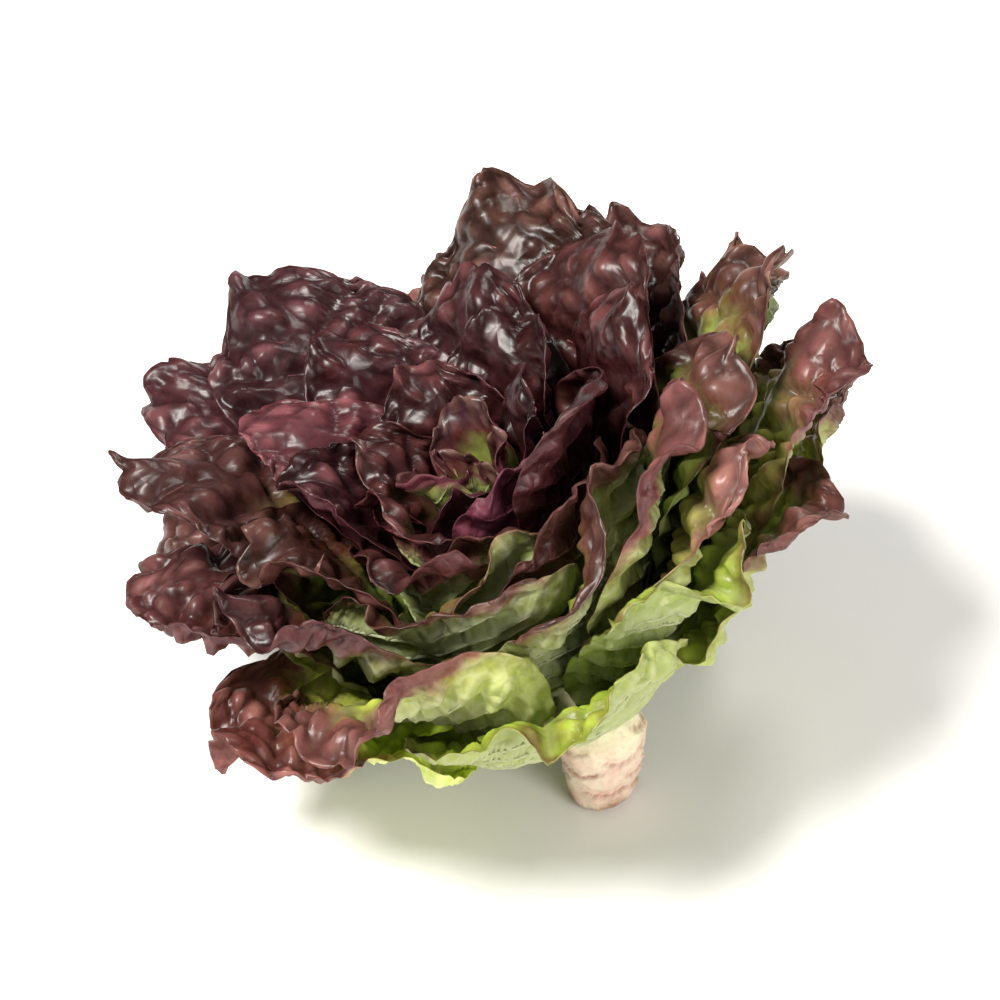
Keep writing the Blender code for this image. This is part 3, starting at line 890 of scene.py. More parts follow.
class Graph:
    """A material's node tree, with short ways to add what the finishes use."""

    def __init__(self, name: str) -> None:
        """Starts a material of a name with an empty tree, and a place on the piece to draw by."""
        self.material = bpy.data.materials.new(name)
        self.material.use_nodes = True
        self.tree = self.material.node_tree
        self.tree.nodes.clear()
        self.place = self.node("ShaderNodeTexCoord").outputs["Object"]

    def node(self, kind: str) -> bpy.types.Node:
        """Adds a node of a kind."""
        return self.tree.nodes.new(kind)

    def link(self, source: object, target: Socket) -> None:
        """Links a socket to another, or sets a number or colour on it.

        Args:
            source: a socket, a number or a colour.
            target: the input it goes to.
        """
        if isinstance(source, Socket):
            self.tree.links.new(source, target)
        elif isinstance(source, tuple):
            target.default_value = (*source, 1.0)
        else:
            target.default_value = source

    def attribute(self, name: str) -> Socket:
        """Reads a number that the blade's points carry."""
        found = self.node("ShaderNodeAttribute")
        found.attribute_name = name
        return found.outputs["Fac"]

    def math(self, kind: str, a: object, b: object) -> Socket:
        """Adds a math node.

        Args:
            kind: its operation.
            a: the first value.
            b: the second value.

        Returns:
            Its output.
        """
        made = self.node("ShaderNodeMath")
        made.operation = kind
        self.link(a, made.inputs[0])
        self.link(b, made.inputs[1])
        return made.outputs[0]

    def add(self, a: object, b: object) -> Socket:
        """The sum of two values."""
        return self.math("ADD", a, b)

    def times(self, a: object, b: object) -> Socket:
        """The product of two values."""
        return self.math("MULTIPLY", a, b)

    def line(self, value: object, slope: float, start: float) -> Socket:
        """A value times a slope, on top of a start."""
        return self.add(self.times(value, slope), start)

    def centred(self, noise: object, share: float) -> Socket:
        """A share of a noise, moved to swing round 0."""
        return self.times(self.add(noise, -0.5), share)

    def noise(self, scale: float, detail: float) -> Socket:
        """Soft patches.

        Args:
            scale: how many to the metre.
            detail: how fine they break up.

        Returns:
            Values round 0.5.
        """
        made = self.node("ShaderNodeTexNoise")
        self.link(scale, made.inputs["Scale"])
        self.link(detail, made.inputs["Detail"])
        self.link(self.place, made.inputs["Vector"])
        return made.outputs["Fac"]

    def net(self, scale: float, width: float) -> Socket:
        """A net of lines, 1 on a line and 0 between.

        Args:
            scale: how many meshes to the metre.
            width: how wide its lines fade out, in meshes.

        Returns:
            The lines.
        """
        made = self.node("ShaderNodeTexVoronoi")
        made.feature = "DISTANCE_TO_EDGE"
        self.link(scale, made.inputs["Scale"])
        self.link(self.place, made.inputs["Vector"])
        found = self.ramp(made.outputs["Distance"], (0.0, width), (WHITE, BLACK))
        found.node.color_ramp.interpolation = "EASE"
        return found

    def ramp(self, value: Socket, stops: tuple[float, ...], colours: tuple[Colour, ...]) -> Socket:
        """A colour that follows a value.

        Args:
            value: from 0 to 1.
            stops: the values of the colours.
            colours: one for each stop.

        Returns:
            The colour.
        """
        made = self.node("ShaderNodeValToRGB")
        elements = made.color_ramp.elements
        while len(elements) < len(stops):
            elements.new(0.5)
        for element, stop, colour in zip(elements, stops, colours):
            element.position = stop
            element.color = (*colour, 1.0)
        self.link(value, made.inputs["Fac"])
        return made.outputs["Color"]

    def mix(self, share: object, a: object, b: object) -> Socket:
        """A colour between two.

        Args:
            share: 0 for the first and 1 for the second.
            a: the first colour.
            b: the second colour.

        Returns:
            The colour.
        """
        made = self.node("ShaderNodeMix")
        made.data_type = "RGBA"
        made.clamp_factor = True
        self.link(share, made.inputs["Factor"])
        self.link(a, made.inputs[6])
        self.link(b, made.inputs[7])
        return made.outputs[2]

    def shader(self, kind: str, colour: Socket) -> bpy.types.Node:
        """Adds a shader of a kind and a colour."""
        made = self.node(kind)
        self.link(colour, made.inputs[0])
        return made

    def bump(self, height: Socket, shader: bpy.types.Node, strength: float, painted_shade_and_light: float) -> None:
        """Gives a shader a fine relief.

        Args:
            height: the relief.
            shader: the shader.
            strength: how strong it shows.
            painted_shade_and_light: how high it stands.
        """
        made = self.node("ShaderNodeBump")
        self.link(strength, made.inputs["Strength"])
        self.link(painted_shade_and_light, made.inputs["Distance"])
        self.link(height, made.inputs["Height"])
        self.link(made.outputs["Normal"], shader.inputs["Normal"])

    def finished(self, surface: Socket) -> bpy.types.Material:
        """Ends the tree with its surface and gives the material."""
        self.link(surface, self.node("ShaderNodeOutputMaterial").inputs["Surface"])
        return self.material


class RibTree:
    """Geometry Nodes that sweep a round rib along every vein and join it to the blade."""

    SIDES = 6
    THICKNESS = 1.0

    def __init__(self) -> None:
        """Builds the tree, whose inputs are the veins, the ribs' sizes and the finish."""
        tree = bpy.data.node_groups.new("leaf_ribs", "GeometryNodeTree")
        face = tree.interface
        face.new_socket("Blade", in_out="INPUT", socket_type="NodeSocketGeometry")
        self.inputs = {
            word: face.new_socket(word, in_out="INPUT", socket_type=kind).identifier
            for word, kind in (
                ("Veins", "NodeSocketObject"),
                ("Rib sides", "NodeSocketInt"),
                ("Rib thickness", "NodeSocketFloat"),
                ("Finish", "NodeSocketMaterial"),
            )
        }
        face.new_socket("Leaf", in_out="OUTPUT", socket_type="NodeSocketGeometry")
        made = {
            word: tree.nodes.new(kind)
            for word, kind in (
                ("in", "NodeGroupInput"),
                ("veins", "GeometryNodeObjectInfo"),
                ("curve", "GeometryNodeMeshToCurve"),
                ("radius", "GeometryNodeInputNamedAttribute"),
                ("thick", "ShaderNodeMath"),
                ("ring", "GeometryNodeCurvePrimitiveCircle"),
                ("sweep", "GeometryNodeCurveToMesh"),
                ("smooth", "GeometryNodeSetShadeSmooth"),
                ("join", "GeometryNodeJoinGeometry"),
                ("real", "GeometryNodeRealizeInstances"),
                ("finish", "GeometryNodeSetMaterial"),
                ("out", "NodeGroupOutput"),
            )
        }
        made["radius"].data_type = "FLOAT"
        made["radius"].inputs["Name"].default_value = "rib_radius"
        made["thick"].operation = "MULTIPLY"
        made["ring"].inputs["Radius"].default_value = 1.0
        made["sweep"].inputs["Fill Caps"].default_value = True
        for source, out, target, into in (
            ("in", "Veins", "veins", "Object"),
            ("veins", "Geometry", "curve", "Mesh"),
            ("curve", "Curve", "sweep", "Curve"),
            ("in", "Rib sides", "ring", "Resolution"),
            ("ring", "Curve", "sweep", "Profile Curve"),
            ("radius", "Attribute", "thick", 0),
            ("in", "Rib thickness", "thick", 1),
            ("thick", 0, "sweep", "Scale"),
            ("sweep", "Mesh", "smooth", "Geometry"),
            ("in", "Blade", "join", "Geometry"),
            ("smooth", "Geometry", "join", "Geometry"),
            ("join", "Geometry", "real", "Geometry"),
            ("real", "Geometry", "finish", "Geometry"),
            ("in", "Finish", "finish", "Material"),
            ("finish", "Geometry", "out", "Leaf"),
        ):
            tree.links.new(made[source].outputs[out], made[target].inputs[into])
        self.tree = tree

    def grow(
        self, name: str, blade: bpy.types.Mesh, veins: bpy.types.Mesh, finish: bpy.types.Material
    ) -> bpy.types.Object:
        """Joins the swept ribs to a blade as one plain mesh.

        Args:
            name: the piece's name.
            blade: the blade's shell.
            veins: lines with a rib_radius on every point.
            finish: the material of both.

        Returns:
            The finished leaf.
        """
        scratch = [add_object(f"{name}.{k}", mesh) for k, mesh in enumerate((blade, veins))]
        modifier = scratch[0].modifiers.new("ribs", "NODES")
        modifier.node_group = self.tree
        modifier[self.inputs["Veins"]] = scratch[1]
        modifier[self.inputs["Rib sides"]] = self.SIDES
        modifier[self.inputs["Rib thickness"]] = self.THICKNESS
        modifier[self.inputs["Finish"]] = finish
        graph = bpy.context.evaluated_depsgraph_get()
        mesh = bpy.data.meshes.new_from_object(scratch[0].evaluated_get(graph), depsgraph=graph)
        scratch[0].modifiers.remove(modifier)
        for thing in scratch:
            bpy.data.objects.remove(thing, do_unlink=True)
        mesh.name = name
        return add_object(name, mesh)


def add_object(name: str, data: bpy.types.ID) -> bpy.types.Object:
    """Puts a mesh, a lamp or a camera in the scene."""
    thing = bpy.data.objects.new(name, data)
    bpy.context.scene.collection.objects.link(thing)
    return thing


def make_mesh(
    name: str,
    points: np.ndarray,
    edges: list[tuple[int, int]],
    faces: np.ndarray | list[list[int]],
    values: dict[str, np.ndarray | float],
) -> bpy.types.Mesh:
    """Makes a smooth mesh whose points carry numbers for the finish.

    Args:
        name: the mesh's name.
        points: its points.
        edges: its edges that no face has.
        faces: its faces.
        values: for each attribute one number a point, or one for all.

    Returns:
        The mesh.
    """
    mesh = bpy.data.meshes.new(name)
    mesh.from_pydata(points, edges, faces)
    mesh.shade_smooth()
    for word, numbers in values.items():
        attribute = mesh.attributes.new(word, "FLOAT", "POINT")
        spread = np.broadcast_to(np.asarray(numbers, np.float32), len(points))
        attribute.data.foreach_set("value", np.ascontiguousarray(spread))
    return mesh


@dataclass
class Crowd:
    """All the coarse leaves at once, to find what lies next to a blade."""

    shells: list[np.ndarray]
    leaves: list[Leaf]
    skip: float = 0.0008
    most_skips: int = 4

    def __post_init__(self) -> None:
        """Joins the shells into one tree and notes whose each triangle is."""
        faces, owners, first = [], [], 0
        for number, (leaf, shell) in enumerate(zip(self.leaves, self.shells)):
            triangles = shell_triangles(leaf.rows, leaf.columns)
            faces.append(triangles + first)
            owners.append(np.full(len(triangles), number))
            first += len(shell)
        points = np.concatenate(self.shells).tolist()
        self.tree = BVHTree.FromPolygons(points, np.concatenate(faces).tolist())
        self.owners = np.concatenate(owners)

    def gap(self, point: np.ndarray, way: np.ndarray, owner: int, reach: float) -> float:
        """The way from a point to the next leaf in a direction.

        Args:
            point: the start.
            way: the direction.
            owner: the leaf that the point is on, which is looked through.
            reach: how far to look.

        Returns:
            The distance, up to the reach.
        """
        start, way, gone = Vector(point), Vector(way), 0.0
        for _ in range(self.most_skips):
            hit = self.tree.ray_cast(start + way * gone, way, reach - gone)
            if hit[0] is None:
                return reach
            gone += hit[3]
            if self.owners[hit[2]] != owner:
                return gone
            gone += self.skip
        return reach


@dataclass
class LettuceLeaf:
    """One leaf of the head: a fine blade over its solid's coarse one, with ribs and colours."""

    leaf: Leaf
    number: int
    cage: np.ndarray
    blades: BladeForm
    shift: np.ndarray
    row_power: float = 0.88
    column_bend: float = 1.25
    lobe_wander: float = 0.25
    lobe_power: float = 1.5
    scallops: float = 3.0
    blade_thickness: float = 0.0006
    least_height: float = 0.0002
    rim_thinning: float = 0.0002
    midrib_half_width: float = 0.0040
    midrib_tip_half_width: float = 0.0010
    midrib_radius: float = 0.0017
    side_rib_radius: float = 0.0009
    least_rib_radius: float = 0.00022
    side_bulge: float = 0.0009
    vein_steps: int = 14
    room_rows: int = 16
    room_columns: int = 14
    room_reach: float = 0.016
    room_share: float = 0.50
    least_room: float = 0.0006
    most_relief: float = 0.0060
    scallop_share: float = 0.35
    nibble: float = 0.005
    vein_sway: float = 0.035
    cell_jitter: float = 0.42
    cell_slope: float = 0.66
    cell_power: float = 0.75
    furrow_depth: float = 0.42
    rim_redness: float = 0.30
    dome_redness: float = 0.12
    most_redness: float = 1.15
    front_azimuth: float = 265.0
    rib_depth: float = 0.35
    rib_colour: float = 0.9
    dimmest: float = 0.75
    brightest: float = 1.2
    least_hue: float = 0.490
    most_hue: float = 0.508
    seed: int = 9100

    def __post_init__(self) -> None:
        """Lays out the fine grid and looks up the ring's detail."""
        self.detail = DETAILS[self.leaf.ring]
        self.look = LOOKS.get(self.leaf.name, PLAIN_LOOK)
        self.draw = np.random.default_rng(self.seed + self.number)
        self.u_steps = np.linspace(0.0, 1.0, self.detail.rows + 1) ** self.row_power
        spread = np.linspace(-1.0, 1.0, self.detail.columns + 1)
        self.v_steps = np.sin(spread * self.column_bend) / math.sin(self.column_bend)
        self.u, self.v = np.meshgrid(self.u_steps, self.v_steps, indexing="ij")
        self.past = self.u - self.blades.rim_centre
        self.angle = np.arctan2(self.v * self.blades.rim_aspect, self.past)
        end = self.past / (1.0 - self.blades.rim_centre)
        self.rim = np.clip(np.maximum(np.abs(self.v), end), 0.0, 1.0)

    def phases(self, count: int) -> np.ndarray:
        """Draws angles for a sum of waves."""
        return self.draw.uniform(0.0, math.tau, count)

    def rise(self, start: float, run: float) -> np.ndarray:
        """Grows from 0 at a share of the blade's length to 1 a run further on."""
        return smooth((self.u - start) / run)

    def swing(self, middle: float, share: float, waves: float, phase: float) -> np.ndarray:
        """A share that swings round its middle value on the way round the rim."""
        return middle + share * np.sin(waves * self.angle + phase)

    def lobed(self) -> np.ndarray:
        """The smooth middle surface, with the rim drawn in between rounded lobes.

        Returns:
            The fine grid's points.
        """
        quarter = math.pi / 2.0
        wander = self.draw.uniform(-self.lobe_wander, self.lobe_wander) * np.sin(1.3 * self.angle)
        self.turn = self.detail.lobes * self.angle * 0.5 + quarter + wander
        a, b = self.phases(2)
        notch, scallop = (
            (1.0 - np.abs(np.sin(turn))) ** self.lobe_power
            for turn in (self.turn, self.scallops * (self.turn - quarter) + quarter)
        )
        notch = notch * self.swing(0.80, 0.20, 1.7, a)
        notch = notch + self.scallop_share * scallop * self.swing(0.7, 0.3, 2.9, b)
        nibble = np.sin(23.0 * self.angle + b) * np.sin(37.0 * self.angle + 2.0 * a)
        cut = self.detail.lobe * notch * self.rim**2 + self.nibble * nibble * self.rim**6
        cut = cut * self.rise(0.20, 0.22)
        return spline_sample(
            self.cage, self.u - np.maximum(self.past, 0.0) * cut, self.v * (1.0 - cut)
        )

    def measures(self, points: np.ndarray) -> tuple[np.ndarray, np.ndarray]:
        """Lengths over the blade.

        Args:
            points: the middle surface.

        Returns:
            Length from the foot and length from the midrib, in metres.
        """
        middle = self.detail.columns // 2
        steps = np.linalg.norm(np.diff(points[:, middle], axis=0), axis=1)
        along = np.concatenate(([0.0], np.cumsum(steps)))[:, None] * np.ones_like(self.v)
        steps = np.linalg.norm(np.diff(points, axis=1), axis=2)
        across = np.concatenate((np.zeros((len(points), 1)), np.cumsum(steps, axis=1)), axis=1)
        return along, across - across[:, middle : middle + 1]

    def pick(self, field: np.ndarray, u: np.ndarray, v: np.ndarray) -> np.ndarray:
        """Reads a grid between its points.

        Args:
            field: the grid, with or without a last axis.
            u: shares from foot to tip.
            v: shares across.

        Returns:
            The values there.
        """
        x = np.interp(u, self.u_steps, np.arange(len(self.u_steps)))
        y = np.interp(v, self.v_steps, np.arange(len(self.v_steps)))
        i = np.minimum(x.astype(int), len(self.u_steps) - 2)
        j = np.minimum(y.astype(int), len(self.v_steps) - 2)
        x, y = x - i, y - j
        if field.ndim == 3:
            x, y = x[..., None], y[..., None]
        low = field[i, j] * (1.0 - y) + field[i, j + 1] * y
        high = field[i + 1, j] * (1.0 - y) + field[i + 1, j + 1] * y
        return low * (1.0 - x) + high * x

    def vein_paths(self) -> Paths:
        """The midrib and the side veins, as paths over the blade.

        Returns:
            For each vein its shares along and across, and its thickness at its root.
        """
        a, b = self.phases(2)

        def middle(u: np.ndarray | float) -> np.ndarray:
            """The midrib's share across at a share along."""
            return self.vein_sway * np.sin(5.0 * u + a) * smooth((u - 0.2) / 0.5)

        u = np.linspace(0.01, 0.95, self.vein_steps * 2)
        paths = [(u, middle(u), self.midrib_radius)]
        step = np.linspace(0.0, 1.0, self.vein_steps)
        for pair in range(self.detail.vein_pairs):
            for side in (-1.0, 1.0):
                root = 0.13 + 0.72 * (pair + 0.25 + 0.25 * side) / self.detail.vein_pairs
                root += self.draw.uniform(-0.02, 0.02)
                lean = (0.24 - 0.12 * root) * self.draw.uniform(0.8, 1.25)
                u = np.clip(root + lean * step**1.3, 0.0, 0.97)
                v = middle(root) + side * step * (0.90 - 0.15 * root)
                v = v + 0.03 * np.sin(6.0 * step + b + pair) * step
                paths.append((u, v, self.side_rib_radius * (1.15 - 0.4 * root)))
        return paths

    def vein_distance(
        self, paths: Paths, along: np.ndarray, across: np.ndarray
    ) -> tuple[np.ndarray, np.ndarray]:
        """How far every point is from the midrib and from the nearest side vein.

        Args:
            paths: the veins.
            along: lengths from the foot.
            across: lengths from the midrib.

        Returns:
            Both distances in metres.
        """
        places = np.stack((along, across), axis=-1).reshape(-1, 2)
        result = []
        for group in (paths[:1], paths[1:]):
            near = np.full(len(places), 1.0)
            for u, v, _ in group:
                x, y = self.pick(along, u, v), self.pick(across, u, v)
                a = np.stack((x[:-1], y[:-1]), axis=-1)
                way = np.stack((np.diff(x), np.diff(y)), axis=-1)
                size = np.maximum((way**2).sum(axis=1), TINY)
                rel = places[:, None, :] - a[None]
                share = np.clip((rel * way[None]).sum(axis=2) / size, 0.0, 1.0)
                gap = rel - share[..., None] * way[None]
                near = np.minimum(near, np.sqrt((gap**2).sum(axis=2)).min(axis=1))
            result.append(near.reshape(along.shape))
        return result[0], result[1]

    def blisters(self, along: np.ndarray, across: np.ndarray) -> np.ndarray:
        """The quilted cells between the fine veins: 1 on a cell's top and 0 in the furrows.

        Args:
            along: lengths from the foot.
            across: lengths from the midrib.

        Returns:
            The heights as shares.
        """
        size = self.detail.blister_size
        x = np.arange(-1.0, along.max() / size + 2.0)
        y = np.arange(across.min() / size - 1.0, across.max() / size + 2.0)
        seeds = np.stack(np.meshgrid(x, y, indexing="ij"), axis=-1).reshape(-1, 2)
        seeds = seeds + self.draw.uniform(-self.cell_jitter, self.cell_jitter, seeds.shape)
        places = np.stack((along, across), axis=-1).reshape(-1, 2) / size
        far = np.sqrt(((places[:, None, :] - seeds[None]) ** 2).sum(axis=2))
        far.partition(1, axis=1)
        dome = np.clip((far[:, 1] - far[:, 0]) / self.cell_slope, 0.0, 1.0)
        return (dome**self.cell_power).reshape(along.shape)

    def room(self, crowd: "Crowd") -> tuple[np.ndarray, np.ndarray]:
        """How far the blade is from its neighbours on both of its faces, over the fine grid.

        Args:
            crowd: all the coarse leaves.

        Returns:
            Distances up to the reach, over the upper face and under the lower face.
        """
        u = np.linspace(0.0, 1.0, self.room_rows + 1)
        v = np.linspace(-1.0, 1.0, self.room_columns + 1)
        uu, vv = np.meshgrid(u, v, indexing="ij")
        points = spline_sample(self.cage, uu, vv)
        normals = grid_normals(points)
        sides = []
        for way in (normals, -normals):
            field = np.full(uu.shape, self.room_reach)
            for i in range(len(u)):
                for j in range(len(v)):
                    field[i, j] = crowd.gap(points[i, j], way[i, j], self.number, self.room_reach)
            padded = np.pad(field, 1, mode="edge")
            rows, columns = field.shape
            near = [padded[i : i + rows, j : j + columns] for i in range(3) for j in range(3)]
            field = 0.5 * np.min(near, axis=0) + 0.5 * np.mean(near, axis=0)
            wide = np.array([np.interp(self.v_steps, v, row) for row in field])
            fine = [np.interp(self.u_steps, u, column) for column in wide.T]
            sides.append(np.array(fine).T)
        return sides[0], sides[1]

    def relief(self, dome: np.ndarray, midrib_gap: np.ndarray, side_gap: np.ndarray) -> np.ndarray:
        """How far the blade stands off its smooth middle: blisters, swells and frills.

        Args:
            dome: the quilted cells.
            midrib_gap: distance from the midrib.
            side_gap: distance from the side veins.

        Returns:
            Heights towards the upper face.
        """
        detail = self.detail
        a, b, c, d, e, f = self.phases(6)
        bed = smooth((midrib_gap - 0.0010) / 0.007)
        between = np.clip((side_gap - 0.0004) / 0.0058, 0.0, 1.0) ** 0.8
        blister = 0.55 * between + 0.45 * dome * (0.35 + 0.65 * between) - self.furrow_depth
        blister = blister * bed * detail.blister
        blister = blister * self.rise(0.04, 0.16) * (1.0 - 0.5 * self.rim**6)
        swell = np.sin(9.0 * self.u + a) * np.sin(4.2 * self.v + b)
        swell = swell + 0.6 * np.sin(15.0 * self.u + 5.0 * self.v + c)
        swell = swell * detail.swell * self.rise(0.12, 0.3) * bed
        crest = np.abs(np.sin(self.turn))
        puff = smooth((self.rim - 0.30) / 0.35) * (1.0 - smooth((self.rim - 0.72) / 0.28))
        rolled = smooth((self.rim - 0.66) / 0.34) * self.swing(0.7, 0.5, 2.1, f)
        lobe = detail.roll * ((crest - 0.35) * puff - rolled) * self.rise(0.25, 0.25)
        wave = np.sin(detail.frills * self.angle + d + 0.9 * np.sin(3.0 * self.angle + e))
        wave = wave + 0.35 * np.sin(2.73 * detail.frills * self.angle + f)
        grown = self.rim**4 * self.rise(0.12, 0.3) * self.swing(0.65, 0.35, 2.3, c)
        return blister + swell + lobe + detail.frill * wave * grown

    def settle(self, relief: np.ndarray, above: np.ndarray, below: np.ndarray) -> np.ndarray:
        """Keeps the relief within the free space on both faces.

        Args:
            relief: heights towards the upper face.
            above: free space over the upper face.
            below: free space under the lower face.

        Returns:
            The heights that fit.
        """
        high = self.room_share * above + self.least_room
        low = -self.room_share * below - self.least_room
        half = np.minimum((high - low) / 2.0, self.most_relief)
        centre = np.clip(0.0, low + half, high - half)
        return centre + half * np.tanh(relief / np.maximum(half, self.most_relief * 0.5))

    def redness(self, dome: np.ndarray) -> np.ndarray:
        """How far the blade has turned from green to red.

        Args:
            dome: the quilted cells, whose tops are the reddest.

        Returns:
            0 where green, 1 where burgundy.
        """
        front = math.cos(math.radians(self.leaf.azimuth - self.front_azimuth))
        start = self.detail.green_to + 0.06 * front + self.draw.uniform(-0.07, 0.07)
        start += self.look.fresh
        grown = smooth((self.u + 0.10 * (self.rim - 0.6) - start) / self.detail.green_fade)
        rim = self.rim_redness * self.rim**4 * self.rise(0.25, 0.3)
        red = grown + rim + self.dome_redness * (dome - 0.5) * grown
        return np.clip(red, 0.0, self.most_redness)

    def surfaces(self, room: tuple[np.ndarray, np.ndarray]) -> dict[str, np.ndarray]:
        """Everything about the blade on the fine grid.

        Args:
            room: distance from the neighbours on both faces.

        Returns:
            The upper and lower faces and what the finish reads.
        """
        smooth_points = self.lobed()
        along, across = self.measures(smooth_points)
        self.paths = self.vein_paths()
        midrib_gap, side_gap = self.vein_distance(self.paths, along, across)
        dome = self.blisters(along, across)
        height = self.settle(self.relief(dome, midrib_gap, side_gap), *room)
        points = smooth_points + grid_normals(smooth_points) * height[..., None]
        points[..., 2] = np.maximum(points[..., 2], self.least_height + self.blade_thickness)
        normals = grid_normals(points)
        thick = self.blade_thickness - self.rim_thinning * self.rim**6
        width = self.midrib_tip_half_width + self.midrib_half_width * (1.0 - self.u) ** 0.8
        bulge = self.leaf.foot_thickness * 0.9 * (1.0 - self.u) ** 1.5
        bulge = (bulge + 0.0006) * bell(across, width)
        beside = bell(side_gap, 0.0017) * (1.0 - 0.65 * np.abs(self.v))
        bulge = np.maximum(bulge, self.side_bulge * beside * self.rise(0.08, 0.1))
        vein = bell(midrib_gap, 0.0012 + 0.0034 * (1.0 - self.u))
        side = 0.80 * bell(side_gap, 0.0014) * (1.0 - 0.5 * np.abs(self.v))
        lower = points - normals * (thick * 0.5 + bulge)[..., None]
        lower[..., 2] = np.maximum(lower[..., 2], self.least_height)
        return {
            "upper": points + normals * (thick * 0.5)[..., None],
            "lower": lower,
            "normals": normals,
            "redness": self.redness(dome),
            "vein": np.maximum(vein, side),
            # How puffed each point is; by it the finish paints sheen and light on the puffs and
            # shade in the furrows
            "puff": dome * smooth(side_gap / 0.004) * (1.0 - vein),
            "rim": (self.rim > 0.9999).astype(float) * self.rise(0.2, 0.2),
        }

    def blade_mesh(self, faces: dict[str, np.ndarray], tone: dict[str, float]) -> bpy.types.Mesh:
        """The blade's closed shell with its attributes.

        Args:
            faces: the fine grid's fields.
            tone: how bright the leaf is, its hue, and how far it has faded to pink with painted
                sheen.

        Returns:
            The mesh.
        """
        points = np.concatenate((faces["upper"].reshape(-1, 3), faces["lower"].reshape(-1, 3)))
        words = ("redness", "vein", "rim", "puff")
        values = {word: np.tile(faces[word].ravel(), 2) for word in words}
        values["face"] = np.repeat((Face.UPPER.value, Face.LOWER.value), len(points) // 2)
        triangles = shell_triangles(self.detail.rows, self.detail.columns)
        name = f"{self.leaf.name}_blade"
        return make_mesh(name, points + self.shift, [], triangles, values | tone)

    def vein_mesh(self, faces: dict[str, np.ndarray], tone: dict[str, float]) -> bpy.types.Mesh:
        """The veins' lines on the lower face, with the ribs' radii.

        Args:
            faces: the fine grid's fields.
            tone: how bright the leaf is, its hue, and how far it has faded to pink with painted
                sheen.

        Returns:
            A mesh of edges.
        """
        parts, edges, first = [], [], 0
        for u, v, root in self.paths:
            taper = np.linspace(1.0, 0.0, len(u)) ** 0.9
            radius = self.least_rib_radius + (root - self.least_rib_radius) * taper
            lower, normals = self.pick(faces["lower"], u, v), self.pick(faces["normals"], u, v)
            place = lower + normals * (radius * self.rib_depth)[:, None]
            place[:, 2] = np.maximum(place[:, 2], radius + self.least_height)
            parts.append((place, radius, self.pick(faces["redness"], u, v)))
            edges += [(k, k + 1) for k in range(first, first + len(u) - 1)]
            first += len(u)
        points, radii, red = map(np.concatenate, zip(*parts))
        values = {"rib_radius": radii, "redness": red, "vein": self.rib_colour}
        values |= {"face": Face.LOWER.value, "rim": 0.0, "puff": 0.0}
        name = f"{self.leaf.name}_veins"
        return make_mesh(name, points + self.shift, edges, [], values | tone)

    def build(
        self, room: tuple[np.ndarray, np.ndarray], ribs: RibTree, finish: bpy.types.Material
    ) -> bpy.types.Object:
        """Builds the leaf and puts it in its solid's place.

        Args:
            room: distance from the neighbours on both faces.
            ribs: the tree that sweeps the ribs.
            finish: the ring's material.

        Returns:
            The finished leaf.
        """
        faces = self.surfaces(room)
        bright = self.draw.uniform(self.dimmest, self.brightest) * self.look.tone
        hue = self.draw.uniform(self.least_hue, self.most_hue) + self.look.hue
        tone = {"tone": bright, "hue": hue, "fade": self.look.fade}
        blade, veins = self.blade_mesh(faces, tone), self.vein_mesh(faces, tone)
        piece = ribs.grow(f"frilled_{self.leaf.name}", blade, veins, finish)
        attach(piece, "root")
        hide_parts(self.leaf.name)
        LOG.info("%s: %d faces", piece.name, len(piece.data.polygons))
        return piece


@dataclass(frozen=True)
class Look:
    """How one leaf differs from its ring: fresher, brighter, of another hue, or faded to pink with
    painted sheen.
    """

    fresh: float = 0.0
    tone: float = 1.0
    hue: float = 0.0
    fade: float = 0.0


PLAIN_LOOK = Look()
LOOKS = {
    "lower_leaf_04": Look(0.05, 1.4, 0.0, 0.25),
    "lower_leaf_05": Look(0.10, 1.3, 0.0, 0.25),
    "lower_leaf_06": Look(0.40, 0.95, 0.0, 0.20),
    "lower_leaf_07": Look(0.75, 0.88),
    "lower_leaf_08": Look(-0.04, 1.45, 0.0, 0.34),
    "lower_leaf_09": Look(-0.10, 1.6, -0.005, 0.10),
    "outer_leaf_01": Look(0.14, 1.0, 0.0, 0.15),
    "outer_leaf_02": Look(0.10, 1.6, 0.0, 0.70),
    "outer_leaf_03": Look(0.12, 1.2, -0.004, 0.36),
    "outer_leaf_04": Look(0.30, 1.4, 0.010, 0.15),
    "outer_leaf_07": Look(0.0, 1.2, -0.010, 0.22),
    "outer_leaf_08": Look(0.0, 1.15, -0.010, 0.18),
    "outer_leaf_09": Look(0.0, 0.8, -0.015, 0.06),
    "outer_leaf_10": Look(0.10, 1.0),
    "outer_leaf_11": Look(0.24, 1.0),
    "middle_leaf_01": Look(0.34, 1.4, 0.012, 0.10),
    "middle_leaf_02": Look(0.0, 0.9),
    "middle_leaf_03": Look(0.05, 1.45, 0.006),
    "middle_leaf_04": Look(0.0, 1.5, 0.004, 0.15),
    "middle_leaf_05": Look(0.0, 1.15, -0.020, 0.12),
    "middle_leaf_06": Look(0.0, 1.1, -0.012, 0.14),
    "middle_leaf_07": Look(0.05, 1.1, 0.0, 0.20),
    "middle_leaf_09": Look(0.16, 1.1),
    "middle_leaf_10": Look(0.16, 1.0),
    "middle_leaf_12": Look(0.22, 1.5, 0.0, 0.45),
    "middle_leaf_13": Look(0.30, 1.5, 0.008, 0.25),
    "inner_leaf_01": Look(0.10, 1.3, 0.008, 0.10),
    "inner_leaf_05": Look(0.0, 1.6, -0.015, 0.20),
    "inner_leaf_07": Look(0.10, 1.1),
    "inner_leaf_08": Look(0.20, 1.1),
    "inner_leaf_09": Look(0.05, 1.6, -0.015, 0.15),
    "inner_leaf_13": Look(0.10, 1.3, 0.010),
}


